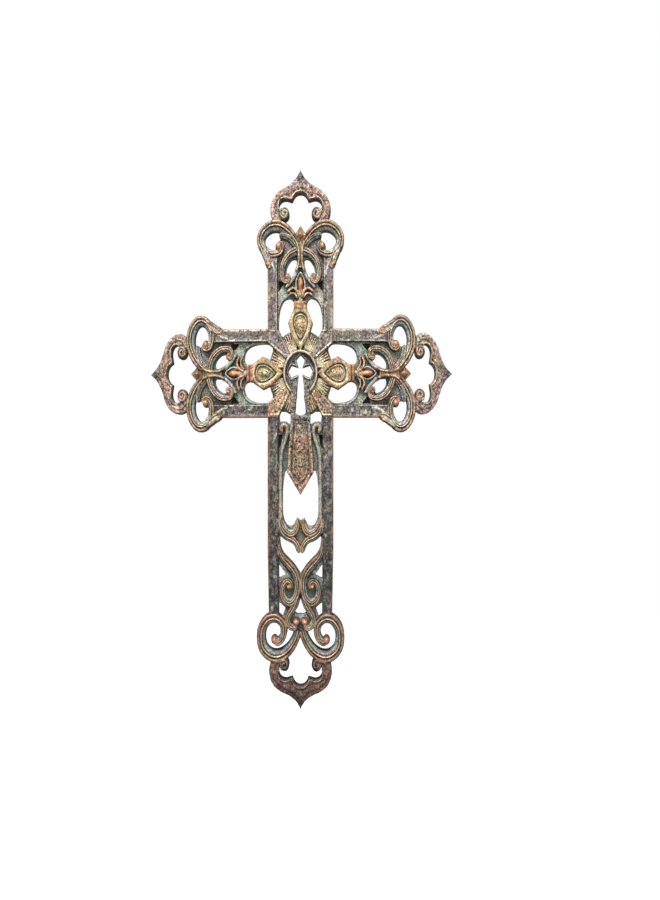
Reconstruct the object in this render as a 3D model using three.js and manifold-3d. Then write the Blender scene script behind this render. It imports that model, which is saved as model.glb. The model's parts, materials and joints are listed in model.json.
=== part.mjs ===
// A cast metal wall cross: openwork scrolls between flat rails, with an ogee finial closing every arm.
// Millimetres. X runs to the right, Z up and Y into the wall. The flat back lies on Y = 0 and the
// relief stands in front of it, towards -Y. Plan points are (x, z) from the crossing of the arms.

import * as THREE from "three";
import { ParametricGeometry } from "three/addons/geometries/ParametricGeometry.js";
import { mergeVertices } from "three/addons/utils/BufferGeometryUtils.js";
import Module from "manifold-3d";

// Reach of the arms from the crossing: 260 wide and 340 tall over all
const SIDE_REACH = 130;
const UPPER_REACH = 128;
const FOOT_REACH = 212;
// The plan of the foot is drawn to this reach and stretched to its own
const FOOT_PLAN_REACH = 210;
// The wall mount lies on the back, behind the lily of the upper arm
const MOUNT_RISE = 50;

// Rails along both sides of every arm
const RAIL_OUTER = 28;
const RAIL_WIDTH = 8.4;
const RAIL_BEVEL = 1.1;
const RAIL_START = 24;
const ARM_RAIL_END = 74;
const FOOT_RAIL_END = 153;

// Height of the relief in front of the wall
const WEB_HEIGHT = 4.6;
const SUNBURST_HEIGHT = 7;
const RAY_HEIGHT = 8.6;
const RAIL_HEIGHT = 9;
const FINIAL_HEIGHT = 9.4;
const PANEL_HEIGHT = 9.8;
const BLOCK_HEIGHT = 10.2;
const SCROLL_HEIGHT = 10.6;
const RIM_HEIGHT = 11;
const BOSS_HEIGHT = 11.4;
const HALO_HEIGHT = 12;

// Centre
const SUNBURST_RADIUS = 27.4;
const SUNBURST_SIDES = 24;
const HALO_RADIUS = 13.7;
const HALO_WIDTH = 2.6;
const RECESS_FLOOR = 4;
const RAYS_PER_GAP = 2;
const RAY_WIDTH = 1.7;
const RAY_START = 14;
const RAY_END = 27;

// How far every solid runs behind the wall plane before the back is cut flat
const BACK_ALLOWANCE = 3;
const CUT_OVERRUN = 4;
const POCKET_DEPTH = 1.6;
const WELD = 1e-4;
const CAP_LEVEL = 0.8;

const CAST_COLOUR = "#6b5443";
const CAST_ROUGHNESS = 0.55;
const CAST_METALNESS = 0.6;

// Solids are joined and cut from closed meshes whose shared vertices are merged.
const wasm = await Module();
wasm.setup();

function solidOf(geometry) {
  const bare = new THREE.BufferGeometry();
  bare.setAttribute("position", geometry.getAttribute("position"));
  bare.setIndex(geometry.index);
  const merged = mergeVertices(bare, WELD);
  const corners = merged.index.array;
  const forward = [];
  for (let i = 0; i < corners.length; i += 3) {
    const [a, b, c] = corners.slice(i, i + 3);
    if (a !== b && b !== c && c !== a) {
      forward.push([a, b, c]);
    }
  }
  const build = (triangles) => new wasm.Manifold(new wasm.Mesh({
    numProp: 3,
    vertProperties: merged.getAttribute("position").array,
    triVerts: new Uint32Array(triangles.flat()),
  }));
  const solid = build(forward);
  return solid.volume() > 0 ? solid : build(forward.map(([a, b, c]) => [a, c, b]));
}

function geometryOf(solid) {
  const { vertProperties, triVerts } = solid.getMesh();
  const geometry = new THREE.BufferGeometry();
  geometry.setAttribute("position", new THREE.BufferAttribute(vertProperties, 3));
  geometry.setIndex(new THREE.BufferAttribute(triVerts, 1));
  geometry.computeVertexNormals();
  return geometry;
}

const plan = (x, z) => new THREE.Vector2(x, z);
const acrossAxis = (point) => plan(-point.x, point.y);

// Section corners as [across from -1 to 1, share of the height]; a share of 0 is the back.
const SCROLL_SECTION = [[-1, 0], [-1, 0.68], [-0.4, 1], [1, 0.5], [1, 0]];
const ROUND_SECTION = [[-1, 0], [-1, 0.6], [0, 1], [1, 0.6], [1, 0]];
const RAY_SECTION = [[-1, 0.75], [0, 1], [1, 0.75]];

// Points round the eye of a scroll. Angles are in degrees, and ease holds the first radius for longer.
function curl(eye, fromRadius, toRadius, fromAngle, sweep, count, ease = 1) {
  const points = [];
  for (let i = 0; i <= count; i += 1) {
    const share = i / count;
    const angle = THREE.MathUtils.degToRad(fromAngle + sweep * share);
    const radius = THREE.MathUtils.lerp(fromRadius, toRadius, share ** ease);
    points.push(plan(eye.x + radius * Math.cos(angle), eye.y + radius * Math.sin(angle)));
  }
  return points;
}

// A rib along a plan curve. Its crest lies on the right of travel, or on the left with flip.
function rib(points, { width, steps, height = SCROLL_HEIGHT, end = 1, flip = false, section }) {
  const curve = new THREE.SplineCurve(points);
  const corners = section ?? SCROLL_SECTION;
  const lastRow = steps + 2;
  const place = (u, v, target) => {
    const row = Math.round(v * lastRow);
    const isCap = row === 0 || row === lastRow;
    const t = THREE.MathUtils.clamp((row - 1) / steps, 0, 1);
    const [across, lift] = corners[Math.round(u * corners.length) % corners.length];
    const middle = curve.getPointAt(t);
    const along = curve.getTangentAt(t);
    const half = (width / 2) * THREE.MathUtils.lerp(1, end, t) * (flip ? -1 : 1);
    const shift = isCap ? 0 : across * half;
    const front = lift > 0 ? lift * height : -BACK_ALLOWANCE;
    const level = isCap ? height * CAP_LEVEL : front;
    target.set(middle.x - along.y * shift, -level, middle.y + along.x * shift);
  };
  return new ParametricGeometry(place, corners.length, lastRow);
}

// A plate of a plan outline with a bevelled front edge.
function plate(outline, height, bevel = 0) {
  const shape = new THREE.Shape(outline);
  const flat = new THREE.ExtrudeGeometry(shape, {
    depth: height + BACK_ALLOWANCE - 2 * bevel,
    bevelEnabled: bevel > 0,
    bevelThickness: bevel,
    bevelSize: bevel,
    bevelOffset: -bevel,
    bevelSegments: 1,
  });
  return flat.translate(0, 0, bevel - BACK_ALLOWANCE).rotateX(Math.PI / 2);
}

// A plate with openings cut right through it.
function openwork(outline, height, holes) {
  const blank = solidOf(plate(outline, height));
  const through = (hole) => plate(hole, height + CUT_OVERRUN).translate(0, CUT_OVERRUN / 2, 0);
  const cutters = holes.map((hole) => solidOf(through(hole)));
  return geometryOf(cutters.reduce((whole, cutter) => whole.subtract(cutter), blank));
}

// A plate with a shallow pocket sunk into its front.
function panel(outline, pocket, height, bevel) {
  const sunk = plate(pocket, height).translate(0, POCKET_DEPTH - BACK_ALLOWANCE - height, 0);
  return geometryOf(solidOf(plate(outline, height, bevel)).subtract(solidOf(sunk)));
}

// A rounded boss: an ellipsoid whose front stands at the given height.
function boss(centre, halfWidth, halfLength, height) {
  const ball = new THREE.SphereGeometry(1, 6, 4);
  const depth = height * 0.6;
  return ball.scale(halfWidth, depth, halfLength).translate(centre.x, depth - height, centre.y);
}

// The points of straight and bezier stretches, each given as [divisions, control points after the start].
const CURVE_BY_POINTS = { 2: THREE.LineCurve, 3: THREE.QuadraticBezierCurve, 4: THREE.CubicBezierCurve };

function outlineOf(start, stretches) {
  const path = new THREE.Path([plan(...start)]);
  for (const [divisions, ...controls] of stretches) {
    const ends = [path.currentPoint.clone(), ...controls.map(([x, z]) => plan(x, z))];
    const CurveClass = CURVE_BY_POINTS[ends.length];
    for (const point of new CurveClass(...ends).getPoints(divisions).slice(1)) {
      path.lineTo(point.x, point.y);
    }
  }
  return path.getPoints(1);
}

// A half outline, from the axis round the right side back to the axis, completed by its mirror image.
function symmetric(half) {
  const onAxis = (point) => Math.abs(point.x) < WELD;
  const left = half.filter((point) => !onAxis(point)).reverse().map(acrossAxis);
  return [...half, ...left];
}

const mirrored = (geometry) => geometry.clone().scale(-1, 1, 1);
const bothSides = (geometries) => geometries.flatMap((geometry) => [geometry, mirrored(geometry)]);
const turned = (geometries, angle) => geometries.map((geometry) => geometry.clone().rotateY(angle));
const stretched = (geometries, share) => geometries.map((geometry) => geometry.clone().scale(1, 1, share));

// Rail bar with bevelled edges, along +Z between two heights.
function rail(fromZ, toZ) {
  const inner = RAIL_OUTER - RAIL_WIDTH;
  const shoulder = RAIL_HEIGHT - RAIL_BEVEL;
  const section = new THREE.Shape([
    plan(inner, -BACK_ALLOWANCE),
    plan(RAIL_OUTER, -BACK_ALLOWANCE),
    plan(RAIL_OUTER, shoulder),
    plan(RAIL_OUTER - RAIL_BEVEL, RAIL_HEIGHT),
    plan(inner + RAIL_BEVEL, RAIL_HEIGHT),
    plan(inner, shoulder),
  ]);
  const bar = new THREE.ExtrudeGeometry(section, { depth: toZ - fromZ, bevelEnabled: false });
  return bar.scale(1, -1, 1).translate(0, 0, fromZ);
}

// Ogee finial with two inward volutes, drawn down from its tip.
const FINIAL_EYE = plan(13.8, -28);
const FINIAL_EYE_RADIUS = 4.3;
const ARM_FINIAL_SIDE = [
  [3, [3, -5.4], [7, -8.6], [13.5, -11.2]],
  [3, [20.6, -13.6], [25.6, -18.8], [25.4, -26]],
  [2, [25.2, -30.5], [21.5, -33.2]],
];
// The foot's finial has squarer shoulders than the other three
const FOOT_FINIAL_SIDE = [
  [3, [2.4, -4.6], [6, -7.6], [13.2, -9.6]],
  [3, [21.4, -11.9], [26.6, -16.6], [26.6, -24]],
  [2, [26.4, -30], [21.5, -33.2]],
];

function finialOutline(side) {
  const hook = curl(FINIAL_EYE, FINIAL_EYE_RADIUS, FINIAL_EYE_RADIUS, -110, -205, 5);
  const outside = outlineOf([0, 0], side);
  const inside = outlineOf([17.7, -26.6], [
    [3, [20.2, -22], [16.5, -18.2], [11.8, -18.7]],
    [1, [6.7, -19.8]],
    [2, [5.8, -16.6], [3.2, -14.7], [0, -14.7]],
  ]);
  return symmetric([...outside, ...hook, ...inside]);
}

function finial(side) {
  const body = plate(finialOutline(side), FINIAL_HEIGHT, 1.3);
  const eye = boss(FINIAL_EYE, 3, 3, BOSS_HEIGHT);
  return [body, ...bothSides([eye])];
}

// Openings in the web between the rails of an arm
function besidePetal() {
  return outlineOf([4, 23.8], [
    [1, [16.6, 23.8]],
    [2, [18.6, 26], [18.7, 30]],
    [3, [18.6, 37], [18, 47.6], [9.6, 48.2]],
    [2, [6, 48], [5.4, 44]],
    [1, [4, 44]],
  ]);
}

function besideStem() {
  return outlineOf([3.2, 72.6], [
    [2, [5, 74.4], [8, 72.6]],
    [2, [12.4, 69], [12.2, 64.4]],
    [1, [9.4, 62.4]],
    [1, [7.4, 60.6]],
    [2, [4.2, 63], [3.6, 67]],
  ]);
}

function armWeb() {
  const inner = RAIL_OUTER - RAIL_WIDTH + 0.6;
  const edge = outlineOf([inner, 20], [
    [1, [inner, 75.5]],
    [1, [19.2, 89.5]],
    [1, [13.5, 90.5]],
    [1, [3, 80.5]],
    [1, [0, 82]],
  ]);
  const right = [besidePetal(), besideStem()];
  const left = right.map((hole) => hole.map(acrossAxis));
  return openwork(symmetric(edge), WEB_HEIGHT, [...right, ...left]);
}

// Loop scroll, its inner curl and the leaf that ties it to the rail
const LOOP_EYE = plan(18.4, 81.2);

function loop() {
  const rise = [plan(0.8, 77), plan(3.4, 83.4), plan(7.4, 88.6), plan(12.6, 92.8), plan(18.6, 95.7)];
  const round = [plan(25.4, 95.4), plan(31, 92), plan(33.6, 87), plan(32.3, 81.8), plan(27.6, 77.8)];
  const inward = [plan(22, 76.8), plan(17.2, 78.2), plan(16.2, 82), plan(19, 83.4)];
  const scroll = rib([...rise, ...round, ...inward], { width: 6.8, steps: 19, end: 0.6, flip: true });
  const leaf = [plan(31.8, 80), plan(29.6, 75.6), plan(27.8, 71.5), plan(27.6, 67.4)];
  const tail = rib(leaf, { width: 6, steps: 3, height: RAIL_HEIGHT + 1, end: 0.6, section: ROUND_SECTION });
  const eye = boss(LOOP_EYE, 2.6, 2.6, BOSS_HEIGHT);
  return [scroll, tail, eye];
}

// Inner scroll between the stem and the rail
const INNER_EYE = plan(11.8, 61.5);

function innerScroll() {
  const fall = [plan(3, 78.4), plan(8.6, 76.2), plan(12.7, 72.8), plan(15, 68.4), plan(15.6, 64.4)];
  const inward = curl(INNER_EYE, 3.6, 1, 0, -270, 5);
  return [rib([...fall, ...inward], { width: 5.8, steps: 11, end: 0.5, flip: true })];
}

// Stem, roof ridges and lily
function stem() {
  const post = rib([plan(0, 67), plan(0, 84)], { width: 5.4, steps: 1, section: ROUND_SECTION });
  const bud = new THREE.OctahedronGeometry(1).scale(4.8, RAIL_HEIGHT, 5.4).translate(0, 0, 88.4);
  const heart = boss(plan(0, 56.6), 3.1, 5.8, RIM_HEIGHT);
  const throat = { width: 4, steps: 1, height: PANEL_HEIGHT, section: ROUND_SECTION };
  return [post, bud, heart, rib([plan(0, 47), plan(0, 54)], throat)];
}

function lilySide() {
  const ridge = [plan(0.4, 70), plan(4.6, 62), plan(10.4, 57), plan(18.6, 52.2)];
  const roof = rib(ridge, { width: 3.2, steps: 3, height: RAIL_HEIGHT, section: ROUND_SECTION });
  const petal = [plan(1.6, 49.6), plan(3.6, 53), plan(7, 53.9), plan(10.8, 50.6)];
  const leaf = rib(petal, { width: 3.4, steps: 3, height: PANEL_HEIGHT, section: ROUND_SECTION });
  return [roof, leaf];
}

// Collar bands and the panelled petal below them
function petal() {
  const collar = (z, height) => plate(outlineOf([-5.4, z], [
    [1, [5.4, z]],
    [1, [5.4, z + 2]],
    [1, [-5.4, z + 2]],
  ]), height, 0.5);
  const outside = symmetric(outlineOf([0, 14.5], [
    [2, [4.6, 19], [8.2, 25.6]],
    [1, [10.5, 32]],
    [1, [5.2, 41.8]],
  ]));
  const inside = symmetric(outlineOf([0, 20], [
    [3, [4.6, 24.5], [8.6, 33], [4.6, 37.4]],
    [1, [0, 39]],
  ]));
  const kernel = boss(plan(0, 31), 3.6, 7, RIM_HEIGHT);
  const leaf = panel(outside, inside, RIM_HEIGHT, 1.2);
  return [collar(41.2, RIM_HEIGHT + 0.4), collar(43.8, RIM_HEIGHT), leaf, kernel];
}

// One whole arm as it stands above the crossing
function arm() {
  const tip = finial(ARM_FINIAL_SIDE).map((geometry) => geometry.translate(0, 0, SIDE_REACH));
  const sides = bothSides([
    rail(RAIL_START, ARM_RAIL_END),
    ...loop(),
    ...innerScroll(),
    ...lilySide(),
  ]);
  return [armWeb(), ...tip, ...sides, ...stem(), ...petal()];
}

// Openings in the web of the lower arm
function footWeb() {
  const inner = RAIL_OUTER - RAIL_WIDTH + 0.6;
  const edge = symmetric(outlineOf([0, -162], [
    [1, [8, -161]],
    [1, [13, -155]],
    [1, [inner, -152]],
    [1, [inner, -20]],
  ]));
  const besideSpear = outlineOf([8.4, -24], [
    [1, [16.6, -24]],
    [1, [18, -26.5]],
    [1, [17.6, -30.5]],
    [2, [13.5, -29], [9.6, -31.5]],
    [1, [8.4, -31.5]],
  ]);
  const shaft = symmetric(outlineOf([12.6, -61], [
    [2, [14.6, -64], [15.3, -74]],
    [1, [15.3, -86]],
    [3, [14.6, -95.4], [9, -95.8]],
    [2, [4.2, -95.6], [3.3, -90.4]],
    [1, [0, -92.2]],
  ]));
  const heart = symmetric(outlineOf([0, -110.8], [
    [1, [2.4, -111.8]],
    [2, [4, -108], [9, -105.6]],
    [1, [17.4, -101.6]],
    [3, [18, -110], [13.2, -113.4]],
    [2, [5, -119.4], [0, -125.4]],
  ]));
  const upperChink = outlineOf([17.6, -122.4], [
    [1, [12, -126.4]],
    [1, [17.2, -128.2]],
  ]);
  const lowerChink = outlineOf([18, -144.6], [
    [1, [12.8, -147.6]],
    [1, [15.2, -152]],
    [1, [18, -150.5]],
  ]);
  const keystone = symmetric(outlineOf([0, -140.8], [
    [1, [5, -149.4]],
    [2, [3, -151.4], [0, -150.6]],
  ]));
  const right = [besideSpear, upperChink, lowerChink];
  const left = right.map((hole) => hole.map(acrossAxis));
  return openwork(edge, WEB_HEIGHT + 0.1, [shaft, heart, keystone, ...right, ...left]);
}

// Spear-shaped panel hanging from the centre
function spear() {
  const outside = symmetric(outlineOf([0, -76], [
    [1, [11.5, -61.6]],
    [1, [8.2, -29]],
    [1, [8.2, -10.5]],
  ]));
  const inside = symmetric(outlineOf([0, -69.4], [
    [2, [7.4, -66.4], [7.6, -59]],
    [1, [5.6, -29]],
  ]));
  return [panel(outside, inside, RIM_HEIGHT - 0.2, 1.1)];
}

// Side rib of the shaft: a curl beside the spear, a run along the rail and half of the bracket
function shaftRib() {
  const eye = plan(14.6, -35);
  const start = curl(eye, 1.3, 3.4, -80, 255, 5);
  const run = [plan(11.6, -38.6), plan(13.6, -43.6), plan(16.2, -50), plan(17.2, -60), plan(17.4, -84)];
  const cup = [plan(15.9, -92.6), plan(12.6, -97), plan(8.6, -98.4), plan(4.8, -96.6), plan(2.6, -91.4)];
  const upper = rib([...start, ...run, ...cup], { width: 4, steps: 18, height: PANEL_HEIGHT });
  const point = [plan(19, -99.6), plan(12, -103.2), plan(6, -105.2), plan(3.6, -108), plan(2.2, -111.6)];
  const lower = rib(point, { width: 3.6, steps: 6, height: PANEL_HEIGHT - 0.3, flip: true });
  return [upper, lower];
}

// Heart rib running into a volute, and the lower curl that ends in a ball
const BALL = plan(3.9, -155.4);

function heartScroll() {
  const fall = [plan(19.6, -109.4), plan(16.4, -114.4), plan(11.4, -118.8), plan(6.2, -123.2)];
  const pinch = [plan(3.2, -128.4), plan(2.7, -134), plan(4.6, -140), plan(9, -143.2)];
  const round = [plan(13.5, -141.2), plan(15.3, -136.4), plan(13.9, -131.8), plan(10.6, -130)];
  const volute = rib([...fall, ...pinch, ...round, plan(8.4, -132.2)], { width: 5.8, steps: 19, end: 0.6 });
  const lean = [plan(2.4, -139.6), plan(4.5, -144.4), plan(7.5, -148.6), plan(10.4, -152.2)];
  const tuck = [plan(11.2, -156), plan(9.2, -159.4), plan(5.7, -160.8), plan(2.5, -159)];
  const lower = rib([...lean, ...tuck], { width: 4.6, steps: 10, end: 0.8, flip: true });
  const eye = boss(plan(10.2, -133.6), 2.4, 2.4, SCROLL_HEIGHT);
  return [volute, lower, eye, boss(BALL, 3.4, 3.6, BOSS_HEIGHT)];
}

// Large spiral at the bottom of each rail
function footSpiral() {
  const start = [plan(1.8, -160.4), plan(4.8, -166.8), plan(10, -172.8), plan(17.4, -176.7)];
  const outer = [plan(25, -176.6), plan(31.4, -172.4), plan(33.6, -165.9), plan(32.2, -159), plan(27.1, -154.2)];
  const inner = [plan(20.8, -153.4), plan(15.6, -156.6), plan(14.2, -161.4), plan(15.9, -165.8)];
  const coil = rib([...start, ...outer, ...inner, plan(19.6, -168)], { width: 8, steps: 22, end: 0.6 });
  return [coil, boss(plan(21.8, -166.2), 3.2, 3.2, BOSS_HEIGHT)];
}

function foot() {
  const upright = finial(FOOT_FINIAL_SIDE);
  const tip = upright.map((geometry) => geometry.rotateY(Math.PI).translate(0, 0, -FOOT_PLAN_REACH));
  const sides = bothSides([
    rail(-FOOT_RAIL_END, -RAIL_START),
    ...shaftRib(),
    ...heartScroll(),
    ...footSpiral(),
  ]);
  return [footWeb(), ...tip, ...sides, ...spear()];
}

// Corner block on the diagonal of the upper right quarter
function cornerBlock() {
  const outside = outlineOf([10, 14.8], [
    [1, [14.8, 10]],
    [1, [27.4, 18.8]],
    [1, [27.4, 27.4]],
    [1, [18.8, 27.4]],
  ]);
  return plate(outside, BLOCK_HEIGHT, 1);
}

// Fine rays between each petal and its neighbouring corner blocks
function rays() {
  const fan = [];
  const gaps = [[66, 74], [16, 24]];
  for (const quarter of [0, 90, 180, 270]) {
    for (const [low, high] of gaps) {
      for (let i = 0; i < RAYS_PER_GAP; i += 1) {
        const share = i / (RAYS_PER_GAP - 1);
        const angle = THREE.MathUtils.degToRad(quarter + THREE.MathUtils.lerp(low, high, share));
        const direction = plan(Math.cos(angle), Math.sin(angle));
        const ends = [RAY_START, RAY_END].map((reach) => direction.clone().multiplyScalar(reach));
        fan.push(rib(ends, { width: RAY_WIDTH, steps: 1, height: RAY_HEIGHT, section: RAY_SECTION }));
      }
    }
  }
  return fan;
}

function disc(radius, height, fromHeight) {
  const drum = new THREE.CylinderGeometry(radius, radius, height - fromHeight, SUNBURST_SIDES);
  return drum.translate(0, -(height + fromHeight) / 2, 0);
}

function halo() {
  const half = HALO_WIDTH / 2;
  const section = [
    plan(HALO_RADIUS - half, 0),
    plan(HALO_RADIUS + half, 0),
    plan(HALO_RADIUS + half, HALO_HEIGHT - 1.2),
    plan(HALO_RADIUS, HALO_HEIGHT),
    plan(HALO_RADIUS - half, HALO_HEIGHT - 1.2),
    plan(HALO_RADIUS - half, 0),
  ];
  return new THREE.LatheGeometry(section, SUNBURST_SIDES).rotateX(Math.PI);
}

// Cross-shaped opening through the centre and the head of the spear
function crossOpening() {
  const half = outlineOf([0, 11.6], [
    [1, [3.7, 8.6]],
    [1, [1.7, 3.4]],
    [1, [7.8, 4.9]],
    [1, [10.4, 1.2]],
    [1, [7.8, -2.8]],
    [1, [1.8, -0.6]],
    [1, [4.6, -25]],
    [1, [2.2, -26.4]],
    [1, [0, -26.8]],
  ]);
  return plate(symmetric(half), HALO_HEIGHT + 1);
}

const joined = (geometries) => geometries.map(solidOf).reduce((whole, piece) => whole.add(piece));

function castCross() {
  const side = arm();
  const recess = solidOf(disc(HALO_RADIUS, SUNBURST_HEIGHT + 1, RECESS_FLOOR));
  const sunburst = solidOf(disc(SUNBURST_RADIUS, SUNBURST_HEIGHT, -BACK_ALLOWANCE)).subtract(recess);
  const blocks = bothSides([cornerBlock(), cornerBlock().rotateY(Math.PI / 2)]);
  const quarterTurn = Math.PI / 2;
  const limbs = joined([
    ...stretched(side, UPPER_REACH / SIDE_REACH),
    ...turned(side, quarterTurn),
    ...turned(side, -quarterTurn),
    ...stretched(foot(), FOOT_REACH / FOOT_PLAN_REACH),
    ...blocks,
    ...rays(),
    halo(),
  ]);
  const behind = new THREE.BoxGeometry(4 * SIDE_REACH, 2 * RIM_HEIGHT, 4 * FOOT_REACH);
  const wall = solidOf(behind.translate(0, RIM_HEIGHT, 0));
  return limbs.add(sunburst).subtract(solidOf(crossOpening())).subtract(wall);
}

const castMetal = new THREE.MeshStandardMaterial({
  color: CAST_COLOUR,
  roughness: CAST_ROUGHNESS,
  metalness: CAST_METALNESS,
});

const cross = new THREE.Mesh(geometryOf(castCross()), castMetal);
cross.name = "cast_cross";
cross.position.z = -MOUNT_RISE;

const part = new THREE.Group();
part.add(cross);

export default part;
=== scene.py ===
import json
import math
from contextlib import contextmanager
from types import SimpleNamespace
from typing import NamedTuple

import bpy
import numpy as np
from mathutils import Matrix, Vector

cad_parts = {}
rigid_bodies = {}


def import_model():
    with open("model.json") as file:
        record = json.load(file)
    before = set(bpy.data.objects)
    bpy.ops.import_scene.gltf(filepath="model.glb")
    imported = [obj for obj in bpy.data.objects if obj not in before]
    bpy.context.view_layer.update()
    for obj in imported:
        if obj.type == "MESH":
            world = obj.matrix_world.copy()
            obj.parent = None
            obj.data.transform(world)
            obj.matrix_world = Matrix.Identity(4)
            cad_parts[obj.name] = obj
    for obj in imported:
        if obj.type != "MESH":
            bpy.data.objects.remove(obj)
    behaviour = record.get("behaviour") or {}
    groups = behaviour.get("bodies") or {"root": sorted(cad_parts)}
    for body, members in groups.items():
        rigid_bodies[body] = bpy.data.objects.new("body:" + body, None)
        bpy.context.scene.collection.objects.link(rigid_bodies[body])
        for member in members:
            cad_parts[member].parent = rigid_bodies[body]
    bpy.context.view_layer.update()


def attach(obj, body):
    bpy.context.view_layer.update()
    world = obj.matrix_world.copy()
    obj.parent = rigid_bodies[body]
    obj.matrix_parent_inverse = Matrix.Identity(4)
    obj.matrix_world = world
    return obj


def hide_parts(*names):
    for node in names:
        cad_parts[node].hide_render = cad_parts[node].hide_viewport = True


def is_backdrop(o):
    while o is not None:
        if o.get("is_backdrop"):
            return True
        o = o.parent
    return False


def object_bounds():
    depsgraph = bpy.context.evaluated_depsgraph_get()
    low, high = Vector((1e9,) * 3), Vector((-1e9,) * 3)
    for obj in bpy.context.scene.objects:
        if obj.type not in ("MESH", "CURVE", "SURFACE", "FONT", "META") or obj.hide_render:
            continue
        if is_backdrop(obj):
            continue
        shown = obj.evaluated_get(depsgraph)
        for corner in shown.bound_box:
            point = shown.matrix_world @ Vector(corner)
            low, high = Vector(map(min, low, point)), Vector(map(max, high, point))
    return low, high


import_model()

bl_info = {
    "name": "Cast wall cross",
    "version": (1, 0, 0),
    "blender": (4, 5, 0),
    "location": "View3D > Sidebar > Wall cross",
    "description": "Models an openwork cast metal wall cross with a rubbed antique finish",
    "category": "Object",
}

# Plan sizes are millimetres (x, z) from the crossing of the arms; heights stand in front of the wall.
MM = 0.001
PIECE_NAME = "cast_cross_relief"
CAD_NODE = "cast_cross"
# The frame's origin is the wall mount, this far above the crossing
MOUNT_RISE = 50.0
# Reaches that the plans are drawn to; the upper arm and the foot are then stretched to their own
ARM_PLAN_REACH = 130.0
FOOT_PLAN_REACH = 210.0
BACK_ALLOWANCE = 2.0
SHARP_ANGLE = math.radians(50)

# Sections across a scroll, in half widths: across from the outer side, and height below the crest
SECTION_DEPTH = -8.5
SCROLL_SECTION = [
    (-1.0, SECTION_DEPTH), (-1.0, -0.85), (-0.93, -0.5), (-0.78, -0.28), (-0.6, -0.2), (-0.42, -0.3),
    (-0.3, -0.54), (-0.24, -0.64), (-0.17, -0.42), (-0.08, -0.12), (0.02, 0.0), (0.12, -0.1), (0.22, -0.42),
    (0.3, -0.7), (0.4, -0.68), (0.62, -0.9), (0.82, -1.2), (0.94, -1.6), (1.0, -2.0), (1.0, SECTION_DEPTH),
]
ROUND_SECTION = [
    (-1.0, SECTION_DEPTH), (-1.0, -1.1), (-0.85, -0.55), (-0.5, -0.15), (0.0, 0.0),
    (0.5, -0.15), (0.85, -0.55), (1.0, -1.1), (1.0, SECTION_DEPTH),
]


def amount(name, description, value, unit="NONE", precision=2):
    return bpy.props.FloatProperty(
        name=name, description=description, default=value, unit=unit, precision=precision)


def colour(name, description, value):
    return bpy.props.FloatVectorProperty(
        name=name, description=description, default=value, size=3, subtype="COLOR", min=0.0, max=1.0)


class CrossSizes(bpy.types.PropertyGroup):
    """Sizes of the casting"""

    side_reach: amount("Side reach", "From the crossing to the tip of a side arm", 0.130, "LENGTH")
    upper_reach: amount("Upper reach", "From the crossing to the upper tip", 0.128, "LENGTH")
    foot_reach: amount("Foot reach", "From the crossing to the lower tip", 0.212, "LENGTH")
    rail_outer: amount("Rail edge", "From an arm's axis to the outer edge of its rails", 0.028, "LENGTH")
    rail_inner: amount("Rail inner edge", "From an arm's axis to the rails' inner edge", 0.0196, "LENGTH")
    rail_height: amount("Rail height", "Front of the rails before the wall", 0.009, "LENGTH")
    web_height: amount("Web height", "Front of the low web between the scrolls", 0.0046, "LENGTH")
    grain: amount("Casting grain", "Cell size at which the drawn parts are fused", 0.00042, "LENGTH", 5)
    pitting: amount("Pitting", "Depth of the rough cast skin", 0.00045, "LENGTH", 5)
    triangles: bpy.props.IntProperty(
        name="Triangles", description="Most triangles in the finished casting", default=194000)


class CrossFinish(bpy.types.PropertyGroup):
    """Colours of the antique finish, and a near-black for painted shade and pits"""

    charcoal: colour("Charcoal", "Rails", (0.20, 0.18, 0.16))
    verdigris: colour("Verdigris", "Flanks of the scrolls and the web", (0.43, 0.435, 0.37))
    umber: colour("Umber", "Metal between the rubbed beads", (0.19, 0.135, 0.098))
    copper: colour("Copper", "Outer beads and leaves", (0.60, 0.365, 0.235))
    gold: colour("Pale gold", "Crests of the scrolls", (0.90, 0.70, 0.45))
    ember: colour("Ember copper", "Lily heart and scroll eyes", (0.60, 0.27, 0.125))
    brass: colour("Brass", "Petals and rays", (0.74, 0.56, 0.31))
    olive: colour("Olive", "Grooves of the petals and rays", (0.27, 0.22, 0.125))
    rose: colour("Rose copper", "Finials", (0.38, 0.265, 0.205))
    cream: colour("Cream", "Rims rubbed bright", (0.86, 0.74, 0.56))
    # This near-black paints shade in recesses, creases and on walls, and the dark of the pits
    soot: colour("Shade and pit black", "Deep recesses and walls", (0.012, 0.011, 0.01))


class CrossStage(bpy.types.PropertyGroup):
    """Camera, light and floor"""

    distance: amount("Camera distance", "From the lens to the wall plane", 0.70, "LENGTH")
    rows_per_metre: amount("Rows per metre", "Picture rows that a metre of the wall fills", 1570.0)
    columns_per_metre: amount("Columns per metre", "Picture columns that a metre of the wall fills", 1162.0)
    aside: amount("Camera aside", "Camera to the right of the shaft", 0.0252, "LENGTH")
    below: amount("Camera below", "Camera below the middle of the cross", 0.0064, "LENGTH")
    key_power: amount("Key light", "Power of the large soft light above", 19.0, "POWER")
    fill_power: amount("Fill light", "Power of the soft light in front", 3.0, "POWER")
    surround: amount("Surround", "Light that the white surround gives", 0.35)
    floor_drop: amount("Floor drop", "Floor below the lower tip", 0.45, "LENGTH")


class Stroke(NamedTuple):
    """A rib along a plan line. Its crest lies to the left of travel where side is 1, else to the right."""

    name: str
    line: np.ndarray
    half_width: float
    end_share: float
    height: float
    kind: str
    section: list = ROUND_SECTION
    side: int = 1
    late: float = 1.0
    start_share: float = 1.0


# Plan lines


def mirror_line(points):
    return [(-x, z) for x, z in reversed(points)]


def symmetric(half):
    """A half outline from the axis round the right side back to the axis, with its mirror image."""
    return list(half) + [(-x, z) for x, z in reversed(half) if abs(x) > 1e-6]


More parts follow.
